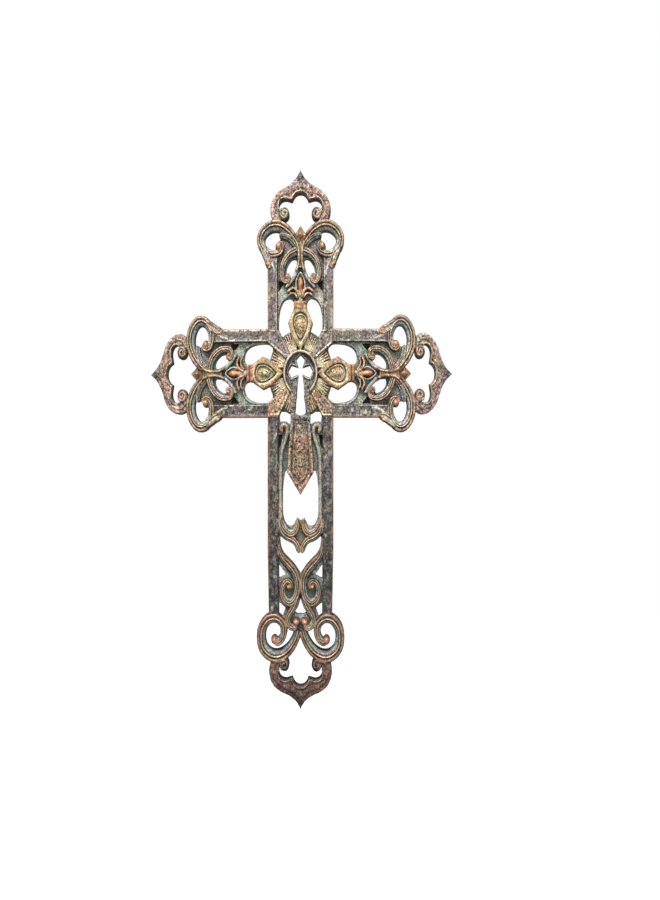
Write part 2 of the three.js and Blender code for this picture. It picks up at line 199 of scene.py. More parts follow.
def curl(eye, from_radius, to_radius, from_angle, sweep, count):
    share = np.linspace(0.0, 1.0, count + 1)
    angle = np.radians(from_angle + sweep * share)
    radius = from_radius + (to_radius - from_radius) * share
    return [(eye[0] + r * math.cos(a), eye[1] + r * math.sin(a)) for r, a in zip(radius, angle)]


def bezier(controls, count):
    t = np.linspace(0.0, 1.0, count + 1)[1:, None]
    c = [np.array(p, float) for p in controls]
    if len(c) == 2:
        line = c[0] + (c[1] - c[0]) * t
    elif len(c) == 3:
        line = c[0] * (1 - t) ** 2 + c[1] * 2 * t * (1 - t) + c[2] * t**2
    else:
        line = c[0] * (1 - t) ** 3 + c[1] * 3 * t * (1 - t) ** 2 + c[2] * 3 * t**2 * (1 - t) + c[3] * t**3
    return [tuple(p) for p in line]


def outline_of(start, *stretches):
    """Stretches after the start: a point ends a straight one, and control points make a bezier one."""
    points = [start]
    for stretch_end in stretches:
        if isinstance(stretch_end[0], tuple):
            points += bezier([points[-1], *stretch_end], 10)
        else:
            points += bezier([points[-1], stretch_end], 1)
    return points


def grown(line, distance):
    """An open line moved to the left of travel by a distance, corner by corner."""
    p = np.array(line, float)
    along = np.diff(p, axis=0)
    along /= np.linalg.norm(along, axis=1)[:, None]
    left = np.column_stack([-along[:, 1], along[:, 0]])
    first = np.vstack([left[:1], left])
    second = np.vstack([left, left[-1:]])
    corner = (first + second) / (1 + np.sum(first * second, axis=1))[:, None]
    return p + corner * distance


def smooth_line(points, step=0.55):
    """Points spaced evenly along a smooth line through the given ones."""
    p = np.array(points, float)
    first = 2 * p[0] - p[1]
    last = 2 * p[-1] - p[-2]
    p = np.vstack([first, p, last])
    t = np.linspace(0.0, 1.0, 24, endpoint=False)[:, None]
    dense = []
    for a, b, c, d in zip(p[:-3], p[1:-2], p[2:-1], p[3:]):
        v = (c - a) / 2
        w = (d - b) / 2
        dense.append((2 * b - 2 * c + v + w) * t**3 + (3 * c - 3 * b - 2 * v - w) * t**2 + v * t + b)
    dense = np.vstack([*dense, p[-2:-1]])
    return even_line(dense, step)


def even_line(dense, step):
    dense = np.array(dense, float)
    length = np.concatenate([[0.0], np.cumsum(np.linalg.norm(np.diff(dense, axis=0), axis=1))])
    count = max(3, int(round(length[-1] / step)) + 1)
    at = np.linspace(0.0, length[-1], count)
    return np.column_stack([np.interp(at, length, dense[:, i]) for i in range(2)])


# Motifs of the casting

FINIAL_EYE = (13.8, -28.0)
FINIAL_EYE_RADIUS = 4.3


def finial_inside():
    return outline_of(
        (17.7, -26.6), ((20.2, -22), (16.5, -18.2), (11.8, -18.7)), (6.7, -19.8),
        ((5.8, -16.6), (3.2, -14.7), (0, -14.7)))


def finial_spiral():
    return curl(FINIAL_EYE, 3.5, 0.7, 60, -560, 60)


def finial_outline(on_foot):
    """The foot's finial has squarer shoulders than the other three."""
    if on_foot:
        outside = outline_of(
            (0, 0), ((2.4, -4.6), (6, -7.6), (13.2, -9.6)), ((21.4, -11.9), (26.8, -16.6), (26.8, -24)),
            ((26.6, -30), (21.5, -33.2)))
    else:
        outside = outline_of(
            (0, 0), ((3, -5.4), (7, -8.6), (13.5, -11.2)), ((20.6, -13.6), (25.8, -18.8), (25.8, -26)),
            ((25.6, -30.5), (21.5, -33.2)))
    hook = curl(FINIAL_EYE, FINIAL_EYE_RADIUS, FINIAL_EYE_RADIUS, -110, -205, 22)
    return symmetric(outside + hook + finial_inside())


LOOP_EYE = (18.6, 81.2)
INNER_EYE = (11.8, 61.5)
TAIL_BALL = (27.6, 69.6)
LILY_MIDDLE = 57.0
BUD_MIDDLE = 88.6
# The foot's rails are this much wider on their inner side
FOOT_RAIL_EXTRA = 0.7
VOLUTE_EYE = (10.2, -133.4)
SPIRAL_EYE = (22.2, -166.7)
BALL_CENTRE = (3.6, -155.3)
SHAFT_EYE = (14.6, -35.0)
# Where the rails start and end, from the crossing
RAIL_START = 24.0
ARM_RAIL_END = 74.0
FOOT_RAIL_END = 153.0
SUN_RADIUS = 27.4
HALO_RADIUS = 13.7
SPEAR_LINE_INSET = 1.9


def strokes_of(rows):
    return [Stroke(name, smooth_line(points), *rest) for name, points, *rest in rows]


def arm_strokes():
    """Ribs on the right side of the upper arm."""
    loop = [(0.8, 77), (3.4, 83.2), (7.4, 88.2), (12.6, 92.2), (18.7, 94.7), (25.5, 94.3), (31.2, 91)]
    loop += [(33.8, 86.4), (32.5, 81.2), (27.6, 77.4), (22, 76.6), (17.2, 78.2), (16.2, 82), (19, 83.4)]
    inner = [(3, 78.4), (8.6, 76.2), (12.7, 72.8), (15, 68.4), (15.6, 64.4)]
    inner += curl(INNER_EYE, 3.6, 1.1, 0, -270, 10)
    lobe = [(2.8, 80.4), (6.6, 84.4), (11.4, 87.4), (18, 88.6)]
    tail_inner = [(28.8, 78), (26.9, 74.8), (25.6, 71.4), (25.8, 68.2), (27.4, 67)]
    stem_line = [(3.4, 84), (1.7, 79.5), (1.3, 74.5), (1.6, 70), (3.4, 65)]
    return strokes_of([
        ("loop", loop, 3.85, 0.5, 10.6, "scroll", SCROLL_SECTION, 1, 3.0, 0.6),
        ("inner_scroll", inner, 2.9, 0.5, 10.6, "scroll", SCROLL_SECTION),
        ("lobe", lobe, 2.5, 0.75, 9.6, "lobe", SCROLL_SECTION),
        ("tail_leaf", [(29, 77), (26, 72.6), (23, 67.6), (21.8, 62)], 2.6, 0.3, 9.8, "lobe"),
        ("tail", [(31.6, 80.6), (30.2, 76.6), (28.2, 72.6), (27.6, 68.6)], 2.9, 0.66, 9.9, "lobe"),
        ("tail_outer", [(33.6, 80.4), (31.8, 76.4), (29.8, 72.6), (29, 69.4)], 1.3, 0.9, 10.6, "leaf"),
        ("tail_inner", tail_inner, 1.1, 0.8, 10.4, "leaf"),
        ("stem_line", stem_line, 1.3, 0.9, 11.0, "stem"),
        ("roof", [(2.6, 66.6), (4.2, 63.2), (7.8, 58.9), (12.6, 54.8)], 1.6, 0.8, 9.2, "roof"),
        ("web_rim", [(19.2, 38.5), (18.4, 42.2), (15.4, 47.2), (10.4, 49.5)], 0.9, 0.8, 6.4, "roof"),
        ("lily_leaf", [(1.2, 48.4), (3.2, 52.6), (6.8, 54.2), (10.9, 52)], 1.25, 0.7, 10.4, "lily"),
        ("lily_under", [(2.4, 48), (4.8, 50.6), (7.6, 51), (10.2, 49.4)], 0.9, 0.7, 9.6, "lily"),
    ])


def foot_strokes():
    """Ribs on the right side of the lower arm."""
    shaft = curl(SHAFT_EYE, 1.3, 3.4, -80, 255, 10)
    shaft += [(11.6, -38.6), (13.6, -43.6), (16, -50), (16.8, -60), (16.9, -84), (16.4, -91)]
    cup = [(17.4, -86), (16.2, -93.2), (12.4, -98.2), (7.8, -100), (4, -97.6), (2.3, -91.8)]
    point = [(18.2, -91.5), (17.9, -95.4), (16.2, -99.2), (12.2, -102.2), (5.8, -104.6), (2.6, -107.8)]
    point += [(1.2, -112.2)]
    heart = [(18.6, -102.6), (18.5, -107.2), (17.6, -111.6), (15.4, -115.4), (11.4, -118.8), (6.2, -123.2)]
    heart += [(3.1, -128.4), (2.6, -134), (4.6, -140), (9.0, -143.2), (13.5, -141.2), (15.3, -136.4)]
    heart += [(13.9, -131.8), (10.6, -130), (8.2, -131.8), (8.8, -134.2)]
    lean = [(2.4, -139.6), (4.5, -144.4), (7.5, -148.6), (10.2, -152), (10.8, -155.2), (8.8, -158)]
    lean += [(5.7, -158.9), (2.8, -157.6)]
    spiral = [(1.8, -160.4), (4.8, -166.8), (10, -172.8), (17.4, -176.7), (25, -176.6), (31.4, -172.4)]
    spiral += [(33.6, -165.9), (32.2, -159), (27.1, -154.2), (20.8, -153.4), (15.6, -156.6), (14.2, -161.4)]
    spiral += [(15.9, -165.8), (19.6, -168), (22.6, -166.6)]
    return strokes_of([
        ("shaft_rib", shaft, 1.6, 1.0, 9.8, "shaft"),
        ("cup", cup, 2.9, 0.8, 10.2, "bracket", SCROLL_SECTION, 1, 1.0, 0.45),
        ("bracket", point, 2.8, 0.8, 9.8, "bracket", SCROLL_SECTION, -1, 1.0, 0.4),
        ("heart_volute", heart, 3.4, 0.55, 10.6, "foot_scroll", SCROLL_SECTION, -1, 2.0, 0.3),
        ("lower_curl", lean, 2.8, 0.7, 10.4, "foot_scroll", SCROLL_SECTION, 1, 2.0),
        ("foot_spiral", spiral, 4.1, 0.55, 10.7, "foot_scroll", SCROLL_SECTION, -1, 3.0, 0.8),
    ])


def petal_outline():
    return symmetric(outline_of((0, 14.5), ((4.6, 19), (8.2, 25.6)), (10.5, 32), (5.2, 41.8)))


def petal_pocket(shrink=0.0):
    half = outline_of((0, 20), ((4.6, 24.5), (8.6, 33), (4.6, 37.4)), ((2.6, 38.6), (0, 39)))
    keep = 1.0 - shrink
    return [(x * keep, 31 + (z - 31) * keep) for x, z in symmetric(half)]


def beside_petal():
    return outline_of(
        (4, 23.8), (16.6, 23.8), ((18.6, 26), (18.7, 30)), ((18.6, 37), (18, 47.6), (9.6, 48.2)),
        ((6, 48), (5.4, 44)), (4, 44))


def beside_stem():
    return outline_of(
        (3.2, 72.6), ((5, 74.4), (8, 72.6)), ((12.4, 69), (12.2, 64.4)), (9.4, 62.4), (7.4, 60.6),
        ((4.2, 63), (3.6, 67)))


def both_sides(holes):
    return holes + [mirror_line(hole) for hole in holes]


def spear_outline():
    return symmetric(outline_of(
        (0, -76), (11.5, -61.6), (8.2, -29), (8.2, -10.5), (3.0, -10.5), (4.6, -25),
        (2.2, -26.4), (0, -26.8)))


def spear_pocket(inset=0.0):
    point = (0, -69.4 + inset)
    shoulder = (7.4 - inset, -66.4 + inset), (7.6 - inset, -59)
    return symmetric(outline_of(point, shoulder, (5.6 - inset, -29 - inset)))


def cross_opening():
    """The cross-shaped opening, an open line round it from the lower left to the lower right."""
    half = [(0, 11.6), (3.7, 8.6), (1.7, 3.4), (7.8, 4.9), (10.4, 1.2), (7.8, -2.8), (1.8, -0.6)]
    return [(-x, z) for x, z in reversed(half[1:])] + half


def corner_block():
    return [(8.8, 12.6), (12.6, 8.8), (27.6, 18.8), (27.6, 27.6), (18.8, 27.6)]


# Drawing tools


def clear_selection():
    if bpy.context.object and bpy.context.object.mode != "OBJECT":
        bpy.ops.object.mode_set(mode="OBJECT")
    bpy.ops.object.select_all(action="DESELECT")


def only(*objects):
    clear_selection()
    for obj in objects:
        obj.select_set(True)
    bpy.context.view_layer.objects.active = objects[0]
    return objects[0]


def added(name):
    """The object that was added last, under its name."""
    obj = bpy.context.object
    obj.name = name
    return obj


def draw_curve(name, loops, closed, tilt=math.pi / 2):
    """A curve object that lies in the wall's plan; its front faces away from the wall."""
    clear_selection()
    bpy.ops.curve.primitive_bezier_curve_add(rotation=(tilt, 0, 0))
    obj = added(name)
    obj.data.splines.clear()
    for loop in loops:
        spline = obj.data.splines.new("POLY")
        spline.points.add(len(loop) - 1)
        spline.use_cyclic_u = closed
        spline.points.foreach_set("co", [c for x, z in loop for c in (x * MM, z * MM, 0.0, 1.0)])
    return obj


def draw_plate(name, loops, height, bevel, inset=0.0):
    """A plate whose first loop is its outline and whose other loops are openings."""
    obj = draw_curve(name, loops, True)
    half = (height + BACK_ALLOWANCE) / 2
    obj.data.dimensions = "2D"
    obj.data.fill_mode = "BOTH"
    obj.data.extrude = (half - bevel) * MM
    obj.data.bevel_depth = bevel * MM
    obj.data.bevel_resolution = 2
    obj.data.offset = -(bevel + inset) * MM
    obj.location.y = -(height - half) * MM
    return obj


def draw_rod(name, line, closed, front):
    """A line at the given height that a section can run along."""
    obj = draw_curve(name, [line], closed)
    obj.data.dimensions = "3D"
    obj.data.twist_mode = "Z_UP"
    obj.data.use_fill_caps = True
    obj.location.y = -front * MM
    return obj


def stroke_widths(stroke):
    """Half width at each point of a stroke, rounded off towards its far end."""
    share = np.linspace(0.0, 1.0, len(stroke.line))
    width = stroke.half_width * (1 + (stroke.end_share - 1) * share**stroke.late)
    width *= stroke.start_share + (1 - stroke.start_share) * smoothstep(0, 0.3, share)
    length = np.sum(np.linalg.norm(np.diff(stroke.line, axis=0), axis=1))
    to_end = (1 - share) * length
    reach = 1.2 * width[-1]
    rounding = np.sqrt(np.clip(1 - (1 - np.clip(to_end / reach, 0, 1)) ** 2, 0.16, 1))
    return width * rounding


def draw_stroke(stroke):
    corners = [(x * stroke.side, y) for x, y in stroke.section]
    section = draw_curve(stroke.name + "_section", [corners], True, tilt=0.0)
    section.data.dimensions = "2D"
    obj = draw_rod(stroke.name, stroke.line, False, stroke.height)
    obj.data.bevel_mode = "OBJECT"
    obj.data.bevel_object = section
    obj.data.splines[0].points.foreach_set("radius", stroke_widths(stroke))
    only(obj)
    bpy.ops.object.convert(target="MESH")
    bpy.data.objects.remove(section)
    return obj


def draw_bead(name, line, radius, height, closed=False):
    """A round bead laid along a plan line, its front at the given height."""
    obj = draw_rod(name, line, closed, height - radius)
    obj.data.bevel_depth = radius * MM
    obj.data.bevel_resolution = 2
    return obj


def draw_boss(name, centre, half_width, half_length, height):
    clear_selection()
    depth = height * 0.6
    place = (centre[0] * MM, (depth - height) * MM, centre[1] * MM)
    bpy.ops.mesh.primitive_uv_sphere_add(
        segments=24, ring_count=14, radius=MM, location=place, scale=(half_width, depth, half_length))
    return added(name)


@contextmanager
def editing(select=None):
    """Edit mode on the active object, with all or none of its mesh selected if asked."""
    bpy.ops.object.mode_set(mode="EDIT")
    if select:
        bpy.ops.mesh.select_all(action=select)
    yield
    bpy.ops.object.mode_set(mode="OBJECT")


def modify(obj, kind, **settings):
    """Adds a modifier to the active object and applies it."""
    modifier = obj.modifiers.new(kind.title(), kind)
    for name, value in settings.items():
        setattr(modifier, name, value)
    bpy.ops.object.modifier_apply(modifier=modifier.name)


def fuse(name, objects, mirror=False):
    """Makes the drawn objects one mesh with its back on the wall plane, and its mirror image if asked."""
    only(*objects)
    bpy.ops.object.convert(target="MESH")
    bpy.ops.object.transform_apply()
    bpy.ops.object.join()
    obj = added(name)
    if mirror:
        modify(obj, "MIRROR", use_mirror_merge=False)
    with editing("SELECT"):
        bpy.ops.mesh.remove_doubles(threshold=1e-6)
        bpy.ops.mesh.select_all(action="DESELECT")
    depth = np.zeros(len(obj.data.vertices) * 3)
    obj.data.vertices.foreach_get("co", depth)
    obj.data.vertices.foreach_set("select", depth[1::3] > 0)
    with editing():
        bpy.ops.transform.resize(value=(1, 0, 1), center_override=(0, 0, 0))
    return obj


def copy_turned(obj, name, angle, shift=(0, 0, 0)):
    """A copy with its own mesh, turned about the axis of the crossing and then moved."""
    only(obj)
    bpy.ops.object.duplicate()
    twin = added(name)
    bpy.ops.transform.rotate(value=angle, orient_axis="Y", center_override=(0, 0, 0))
    bpy.ops.transform.translate(value=shift)
    bpy.ops.object.transform_apply()
    return twin


def stretch(obj, share):
    """Lengthens or shortens an upright limb from the crossing."""
    only(obj)
    bpy.ops.transform.resize(value=(1, 1, share), center_override=(0, 0, 0))
    bpy.ops.object.transform_apply()


def draw_finial(on_foot):
    """The ogee finial, drawn down from its tip."""
    outline = finial_outline(on_foot)
    rim = even_line(finial_inside()[:-1], 0.5)
    rim_side = np.column_stack([rim[:, 0] + 0.7, rim[:, 1] + 1.1])
    rim_line = np.vstack([rim_side, np.column_stack([-rim_side[::-1, 0], rim_side[::-1, 1]])])
    parts = [
        draw_plate("finial_body", [outline], 8.8, 1.2),
        draw_plate("finial_crown", [outline], 9.6, 0.7, inset=3.0),
        draw_bead("finial_rim", even_line(rim_line, 0.5), 0.6, 10.0),
    ]
    roll = draw_bead("finial_roll", even_line(finial_spiral(), 0.4), 0.85, 10.8)
    return fuse("finial", [fuse("finial_whole", parts), fuse("finial_sides", [roll], mirror=True)])


def place_finial(name, on_foot, angle, reach):
    """A finial turned about the crossing, with its tip moved to the given reach."""
    finial = draw_finial(on_foot)
    tip = copy_turned(finial, name, angle, (0, 0, reach))
    bpy.data.objects.remove(finial)
    return tip


class WALLCROSS_OT_arms(bpy.types.Operator):
    """Models the upper arm once and copies it to both sides"""

    bl_idname = "wallcross.arms"
    bl_label = "Model the arms"

    def execute(self, context):
        sizes = context.scene.cross_sizes
        tip = place_finial("upper_finial", False, 0.0, sizes.side_reach)
        arm = fuse("arm", [tip, self.middle(sizes), self.sides(sizes)])
        copy_turned(arm, "left_arm", math.pi / 2)
        copy_turned(arm, "right_arm", -math.pi / 2)
        stretch(arm, limb_shares()[0])
        return {"FINISHED"}

    def middle(self, sizes):
        inner = sizes.rail_inner / MM + 0.6
        web = symmetric([
            (inner, 20), (inner, 76), (19.4, 80), (17.4, 86.5), (15, 90), (13, 90), (3, 80.5), (0, 82)])
        pocket = [(14, 57.8), (19, 52.4), (19, 60)]
        lily = smooth_line([(1.0, 49), (2.6, 52.6), (3.9, 57), (2.6, 61), (0, 64.2), (-2.6, 61), (-3.9, 57),
                            (-2.6, 52.6), (-1.0, 49)])
        collar = [(-5.5, 0), (5.5, 0), (5.5, 2.4), (-5.5, 2.4)]
        bud_outline = [(0, 94.4), (4.8, 88.8), (0, 82.6), (-4.8, 88.8)]
        petal = petal_outline()
        stem = Stroke("stem", smooth_line([(0, 67.5), (0, 84)]), 1.9, 1.0, 10.0, "stem")
        throat = Stroke("throat", smooth_line([(0, 45), (0, 54)]), 2.6, 0.7, 9.8, "lily")
        clear_selection()
        bpy.ops.mesh.primitive_cone_add(
            vertices=4, radius1=5.0 * MM, radius2=0.3 * MM, depth=6 * MM, scale=(0.9, 1.1, 1),
            location=(0, -8.5 * MM, BUD_MIDDLE * MM), rotation=(math.pi / 2, 0, 0))
        bud = bpy.context.object
        parts = [
            draw_plate("arm_web", [web, *both_sides([beside_petal(), beside_stem(), pocket])],
                       sizes.web_height / MM, 0.4),
            draw_plate("bud_base", [bud_outline], 7.4, 0.5),
            bud,
            draw_stroke(stem),
            draw_stroke(throat),
            draw_boss("lily_heart", (0, LILY_MIDDLE), 2.7, 5.6, 11.2),
            draw_bead("lily_edge", lily, 0.55, 9.8),
            draw_plate("collar_low", [[(x, z + 40.6) for x, z in collar]], 11.4, 1.0),
            draw_plate("collar_high", [[(x, z + 43.6) for x, z in collar]], 11.2, 1.0),
            draw_plate("petal_floor", [petal], 8.4, 0.8),
            draw_plate("petal_rim", [petal, petal_pocket()], 10.9, 1.4),
            draw_bead("petal_line", even_line(petal_pocket(0.2) + petal_pocket(0.2)[:1], 0.5), 0.6, 9.9),
            draw_boss("petal_kernel", (0, 30.4), 3.7, 7.2, 10.9),
        ]
        return fuse("arm_middle", parts)

    def sides(self, sizes):
        inner = sizes.rail_inner / MM
        outer = sizes.rail_outer / MM
        height = sizes.rail_height / MM
        rail = [(inner, RAIL_START), (outer, RAIL_START), (outer, ARM_RAIL_END), (inner, ARM_RAIL_END)]
        parts = [draw_stroke(stroke) for stroke in arm_strokes()]
        parts += [
            draw_plate("rail", [rail], height, 1.1),
            draw_bead("rail_bead", [(inner + 0.9, 28), (inner + 0.9, 73)], 0.6, height + 0.35),
            draw_plate("pocket_floor", [[(13.8, 51), (20.2, 51), (20.2, 62), (13.8, 62)]], 1.2, 0.2),
            draw_boss("loop_ball", LOOP_EYE, 3.0, 3.0, 11.5),
            draw_boss("inner_ball", INNER_EYE, 2.0, 2.0, 11.0),
            draw_boss("tail_ball", TAIL_BALL, 2.2, 2.2, 10.6),
        ]
        return fuse("arm_sides", parts, mirror=True)


class WALLCROSS_OT_foot(bpy.types.Operator):
    """Models the lower arm with its spear, hearts, volutes and spirals"""

    bl_idname = "wallcross.foot"
    bl_label = "Model the foot"

    def execute(self, context):
        sizes = context.scene.cross_sizes
        tip = place_finial("lower_finial", True, math.pi, -FOOT_PLAN_REACH * MM)
        foot = fuse("foot", [tip, self.middle(sizes), self.sides(sizes)])
        stretch(foot, limb_shares()[1])
        return {"FINISHED"}

    def web(self, sizes):
        inner = sizes.rail_inner / MM + 0.6
        shaft_end = [(3.9, -20), (4.6, -25), (2.2, -26.4), (0, -26.8)]
        edge = symmetric([(0, -162), (8, -161), (13, -155), (inner, -152), (inner, -20), *shaft_end])
        beside_spear = outline_of(
            (8.4, -24), (16.6, -24), (18, -26.5), (17.6, -30.5), ((13.5, -29), (9.6, -31.5)),
            (8.4, -31.5))
        shaft = symmetric(outline_of(
            (12.6, -61), ((14.6, -64), (15.3, -74)), (15.3, -86), ((14.6, -95.4), (9, -95.8)),
            ((4.2, -95.6), (3.3, -90.4)), (0, -92.2)))
        heart = symmetric(outline_of(
            (0, -110.8), (2.4, -111.8), ((4, -108), (9, -105.6)), (17.4, -101.6),
            ((18, -110), (13.2, -113.4)), ((5, -119.4), (0, -125.4))))
        chink = [(18.6, -119.6), (12.4, -126.2), (18.4, -128.4)]
        low_chink = [(18.4, -143.4), (13, -147), (15.4, -152.4), (18.4, -150.6)]
        pocket = [(15.4, -38.4), (18.6, -38.4), (18.6, -47.4), (16.8, -45)]
        keystone = symmetric(outline_of((0, -139.6), (5, -149.4), ((3, -151.4), (0, -150.6))))
        holes = [shaft, heart, keystone, *both_sides([beside_spear, chink, low_chink, pocket])]
        return draw_plate("foot_web", [edge, *holes], sizes.web_height / MM + 0.1, 0.4)

    def middle(self, sizes):
        spear = spear_outline()
        line = spear_pocket(SPEAR_LINE_INSET)
        left_point = smooth_line([(-9.4, -61.6), (0, -72.6)])
        right_point = smooth_line([(9.4, -61.6), (0, -72.6)])
        parts = [
            self.web(sizes),
            draw_plate("spear_floor", [spear], 9.0, 1.0),
            draw_plate("spear_rim", [spear, spear_pocket()], 10.6, 0.9),
            draw_bead("spear_line", line, 0.55, 9.9, closed=True),
            draw_bead("spear_left", left_point, 0.6, 11.0),
            draw_bead("spear_right", right_point, 0.6, 11.0),
        ]
        return fuse("foot_middle", parts)

    def sides(self, sizes):
        inner = sizes.rail_inner / MM - FOOT_RAIL_EXTRA
        outer = sizes.rail_outer / MM
        rail = [(inner, -FOOT_RAIL_END), (outer - 1.1, -FOOT_RAIL_END), (outer, -110)]
        rail += [(outer, -RAIL_START), (inner, -RAIL_START)]
        parts = [draw_stroke(stroke) for stroke in foot_strokes()]
        parts += [
            draw_plate("long_rail", [rail], sizes.rail_height / MM, 1.1),
            draw_plate("pocket_floor", [[(14, -37), (19.4, -37), (19.4, -49), (14, -49)]], 1.2, 0.2),
            draw_boss("volute_ball", VOLUTE_EYE, 2.2, 2.2, 11.2),
            draw_boss("foot_ball", BALL_CENTRE, 3.4, 2.9, 11.6),
            draw_boss("spiral_ball", SPIRAL_EYE, 3.1, 3.2, 11.6),
            draw_bead("spear_edge", [(7.5, -12), (7.5, -29), (10.5, -60.5)], 0.5, 11.0),
        ]
        return fuse("foot_sides", parts, mirror=True)


class WALLCROSS_OT_centre(bpy.types.Operator):
    """Models the sunburst, halo and corner blocks round the cross-shaped opening"""

    bl_idname = "wallcross.centre"
    bl_label = "Model the centre"

    def execute(self, context):
        disc = curl((0, 0), SUN_RADIUS, SUN_RADIUS, 0, 357, 119)
        shaft = [(3.27, -13.6), (4.6, -25), (2.2, -26.4), (0, -26.8)]
        shaft_loop = [(-x, z) for x, z in shaft] + shaft[-2::-1]
        keyhole = curl((0, 0), 13.3, 13.3, -75, 330, 80) + shaft_loop
        floor = curl((0, 0), 14.2, 14.2, -76.6, 333.2, 80) + cross_opening()
        halo = even_line(curl((0, 0), HALO_RADIUS, HALO_RADIUS, -60, 300, 100), 0.5)
        parts = [
            draw_plate("sunburst", [disc, keyhole], 7.0, 0.4),
            draw_plate("recess", [floor], 6.2, 0.3),
            draw_bead("cross_rim", grown(cross_opening(), 1.0), 0.65, 7.6),
            draw_stroke(Stroke("halo", halo, 0.95, 1.0, 11.6, "halo")),
        ]
        for quarter in range(4):
            parts += self.rays(quarter) + self.block(quarter)
        fuse("centre", parts)
        return {"FINISHED"}

    def rays(self, quarter):
        fan = []
        for i, angle in enumerate((13, 17.2, 21.4, 25.6, 29.8, 34)):
            for side, turn in (("a", angle), ("b", 90 - angle)):
                direction = np.radians(90 * quarter + turn)
                ends = [(r * math.cos(direction), r * math.sin(direction)) for r in (14.6, 27.2 - 0.4 * i)]
                fan.append(draw_bead(f"ray_{quarter}_{i}{side}", ends, 0.64, 8.7))
        return fan

    def block(self, quarter):
        turn = np.radians(90 * quarter)
        cos, sin = math.cos(turn), math.sin(turn)
        outline = [(x * cos - z * sin, x * sin + z * cos) for x, z in corner_block()]
        middle = np.mean(outline, axis=0)
        rim = [tuple(middle + (np.array(p) - middle) * 0.86) for p in outline]
        return [
            draw_plate(f"block_{quarter}", [outline], 10.0, 0.9),
            draw_bead(f"block_rim_{quarter}", rim, 0.5, 10.5, closed=True),
        ]


class WALLCROSS_OT_casting(bpy.types.Operator):
    """Fuses the drawn parts into one casting with a rough cast skin and a flat back"""

    bl_idname = "wallcross.casting"
    bl_label = "Fuse the casting"

    def execute(self, context):
        sizes = context.scene.cross_sizes
        names = ("arm", "left_arm", "right_arm", "foot", "centre")
        cast = only(*[bpy.data.objects[name] for name in names])
        bpy.ops.object.join()
        cast.name = PIECE_NAME
        cast.data.name = PIECE_NAME
        bpy.ops.transform.translate(value=(0, 0, -MOUNT_RISE * MM))
        bpy.ops.object.transform_apply()
        cast.data.remesh_voxel_size = sizes.grain
        bpy.ops.object.voxel_remesh()
        self.drop_specks(cast)
        self.roughen(cast, sizes.pitting)
        triangles = len(cast.data.loops) - 2 * len(cast.data.polygons)
        modify(cast, "DECIMATE", ratio=min(1.0, sizes.triangles / triangles), use_collapse_triangulate=True)
        with editing("SELECT"):
            bpy.ops.mesh.normals_make_consistent(inside=False)
        bpy.ops.object.shade_smooth_by_angle(angle=SHARP_ANGLE)
        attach(cast, "root")
        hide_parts(CAD_NODE)
        return {"FINISHED"}

    def drop_specks(self, cast):
        """Removes specks that don't hang together with the lower tip."""
        with editing("DESELECT"):
            pass
        level = vertex_places(cast)[:, 1]
        cast.data.vertices[int(level.argmin())].select = True
        with editing():
            bpy.ops.mesh.select_linked()
            bpy.ops.mesh.select_all(action="INVERT")
            bpy.ops.mesh.delete(type="VERT")

    def roughen(self, cast, pitting):
        modify(cast, "SMOOTH", factor=0.5, iterations=2)
        rough, faint = roughness_of(vertex_places(cast))
        for name, weight in (("rough", rough), ("faint", faint)):
            group = cast.vertex_groups.new(name=name)
            group.add(np.flatnonzero(weight).tolist(), 1.0, "REPLACE")
        self.displace(cast, "rough", 0.0026, pitting)
        self.displace(cast, "rough", 0.0011, pitting * 0.8)
        self.displace(cast, "faint", 0.004, pitting * 0.7)

    def displace(self, cast, group, size, depth):
        texture = bpy.data.textures.new(f"{group}_{size}", "CLOUDS")
        texture.noise_scale = size
        texture.noise_depth = 1
        modify(cast, "DISPLACE", texture=texture, texture_coords="LOCAL", direction="NORMAL",
               vertex_group=group, strength=depth, mid_level=0.5)
        bpy.data.textures.remove(texture)


# Places on the finished casting

ARM_FINIAL_START = 99.0
FOOT_FINIAL_START = -181.0
PATCH_ROWS, PATCH_COLUMNS = 40, 80


def vertex_places(obj):
    """Plan place and height of every vertex, in millimetres from the crossing and the wall."""
    co = np.zeros(len(obj.data.vertices) * 3)
    obj.data.vertices.foreach_get("co", co)
    co = co.reshape(-1, 3) / MM
    return np.column_stack([co[:, 0], co[:, 2] + MOUNT_RISE, -co[:, 1]])


def limb_shares():
    """How far the upper arm and the foot are stretched from their plans."""
    sizes = bpy.context.scene.cross_sizes
    return sizes.upper_reach / sizes.side_reach, sizes.foot_reach / MM / FOOT_PLAN_REACH


def fold(places):
    """Which vertices lie on the foot, and each one's place on the right half of its own arm's plan."""
    x, z = places[:, 0], places[:, 1]
    upper_share, foot_share = limb_shares()
    foot = z < -np.abs(x)
    level = ~foot & (np.abs(x) > z)
    across = np.where(level, np.abs(z), np.abs(x))
    along = np.where(level, np.abs(x), np.where(foot, z / foot_share, z / upper_share))
    return foot, across, along


def inside(outline, x, z):
    hit = np.zeros(len(x), bool)
    for (x0, z0), (x1, z1) in zip(outline, outline[1:] + outline[:1]):
        crosses = (z0 > z) != (z1 > z)
        slope = (x1 - x0) / (z1 - z0) if z1 != z0 else 0.0
        hit ^= crosses & (x < x0 + (z - z0) * slope)
    return hit


def roughness_of(places):
    foot, across, along = fold(places)
    radius = np.hypot(places[:, 0], places[:, 1])
    front = places[:, 2] > 3.0
    finial = np.where(foot, along < FOOT_FINIAL_START, along > ARM_FINIAL_START)
    spear = foot & inside(spear_outline(), across, along)
    off_diagonal = np.abs(np.abs(places[:, 0]) - np.abs(places[:, 1]))
    blocks = (radius < 38) & (off_diagonal < 12) & (radius > 18)
    kernel = ~foot & inside(petal_pocket(0.4), across, along)
    rough = front & (finial | spear | blocks | kernel)
    return rough, front & ~rough


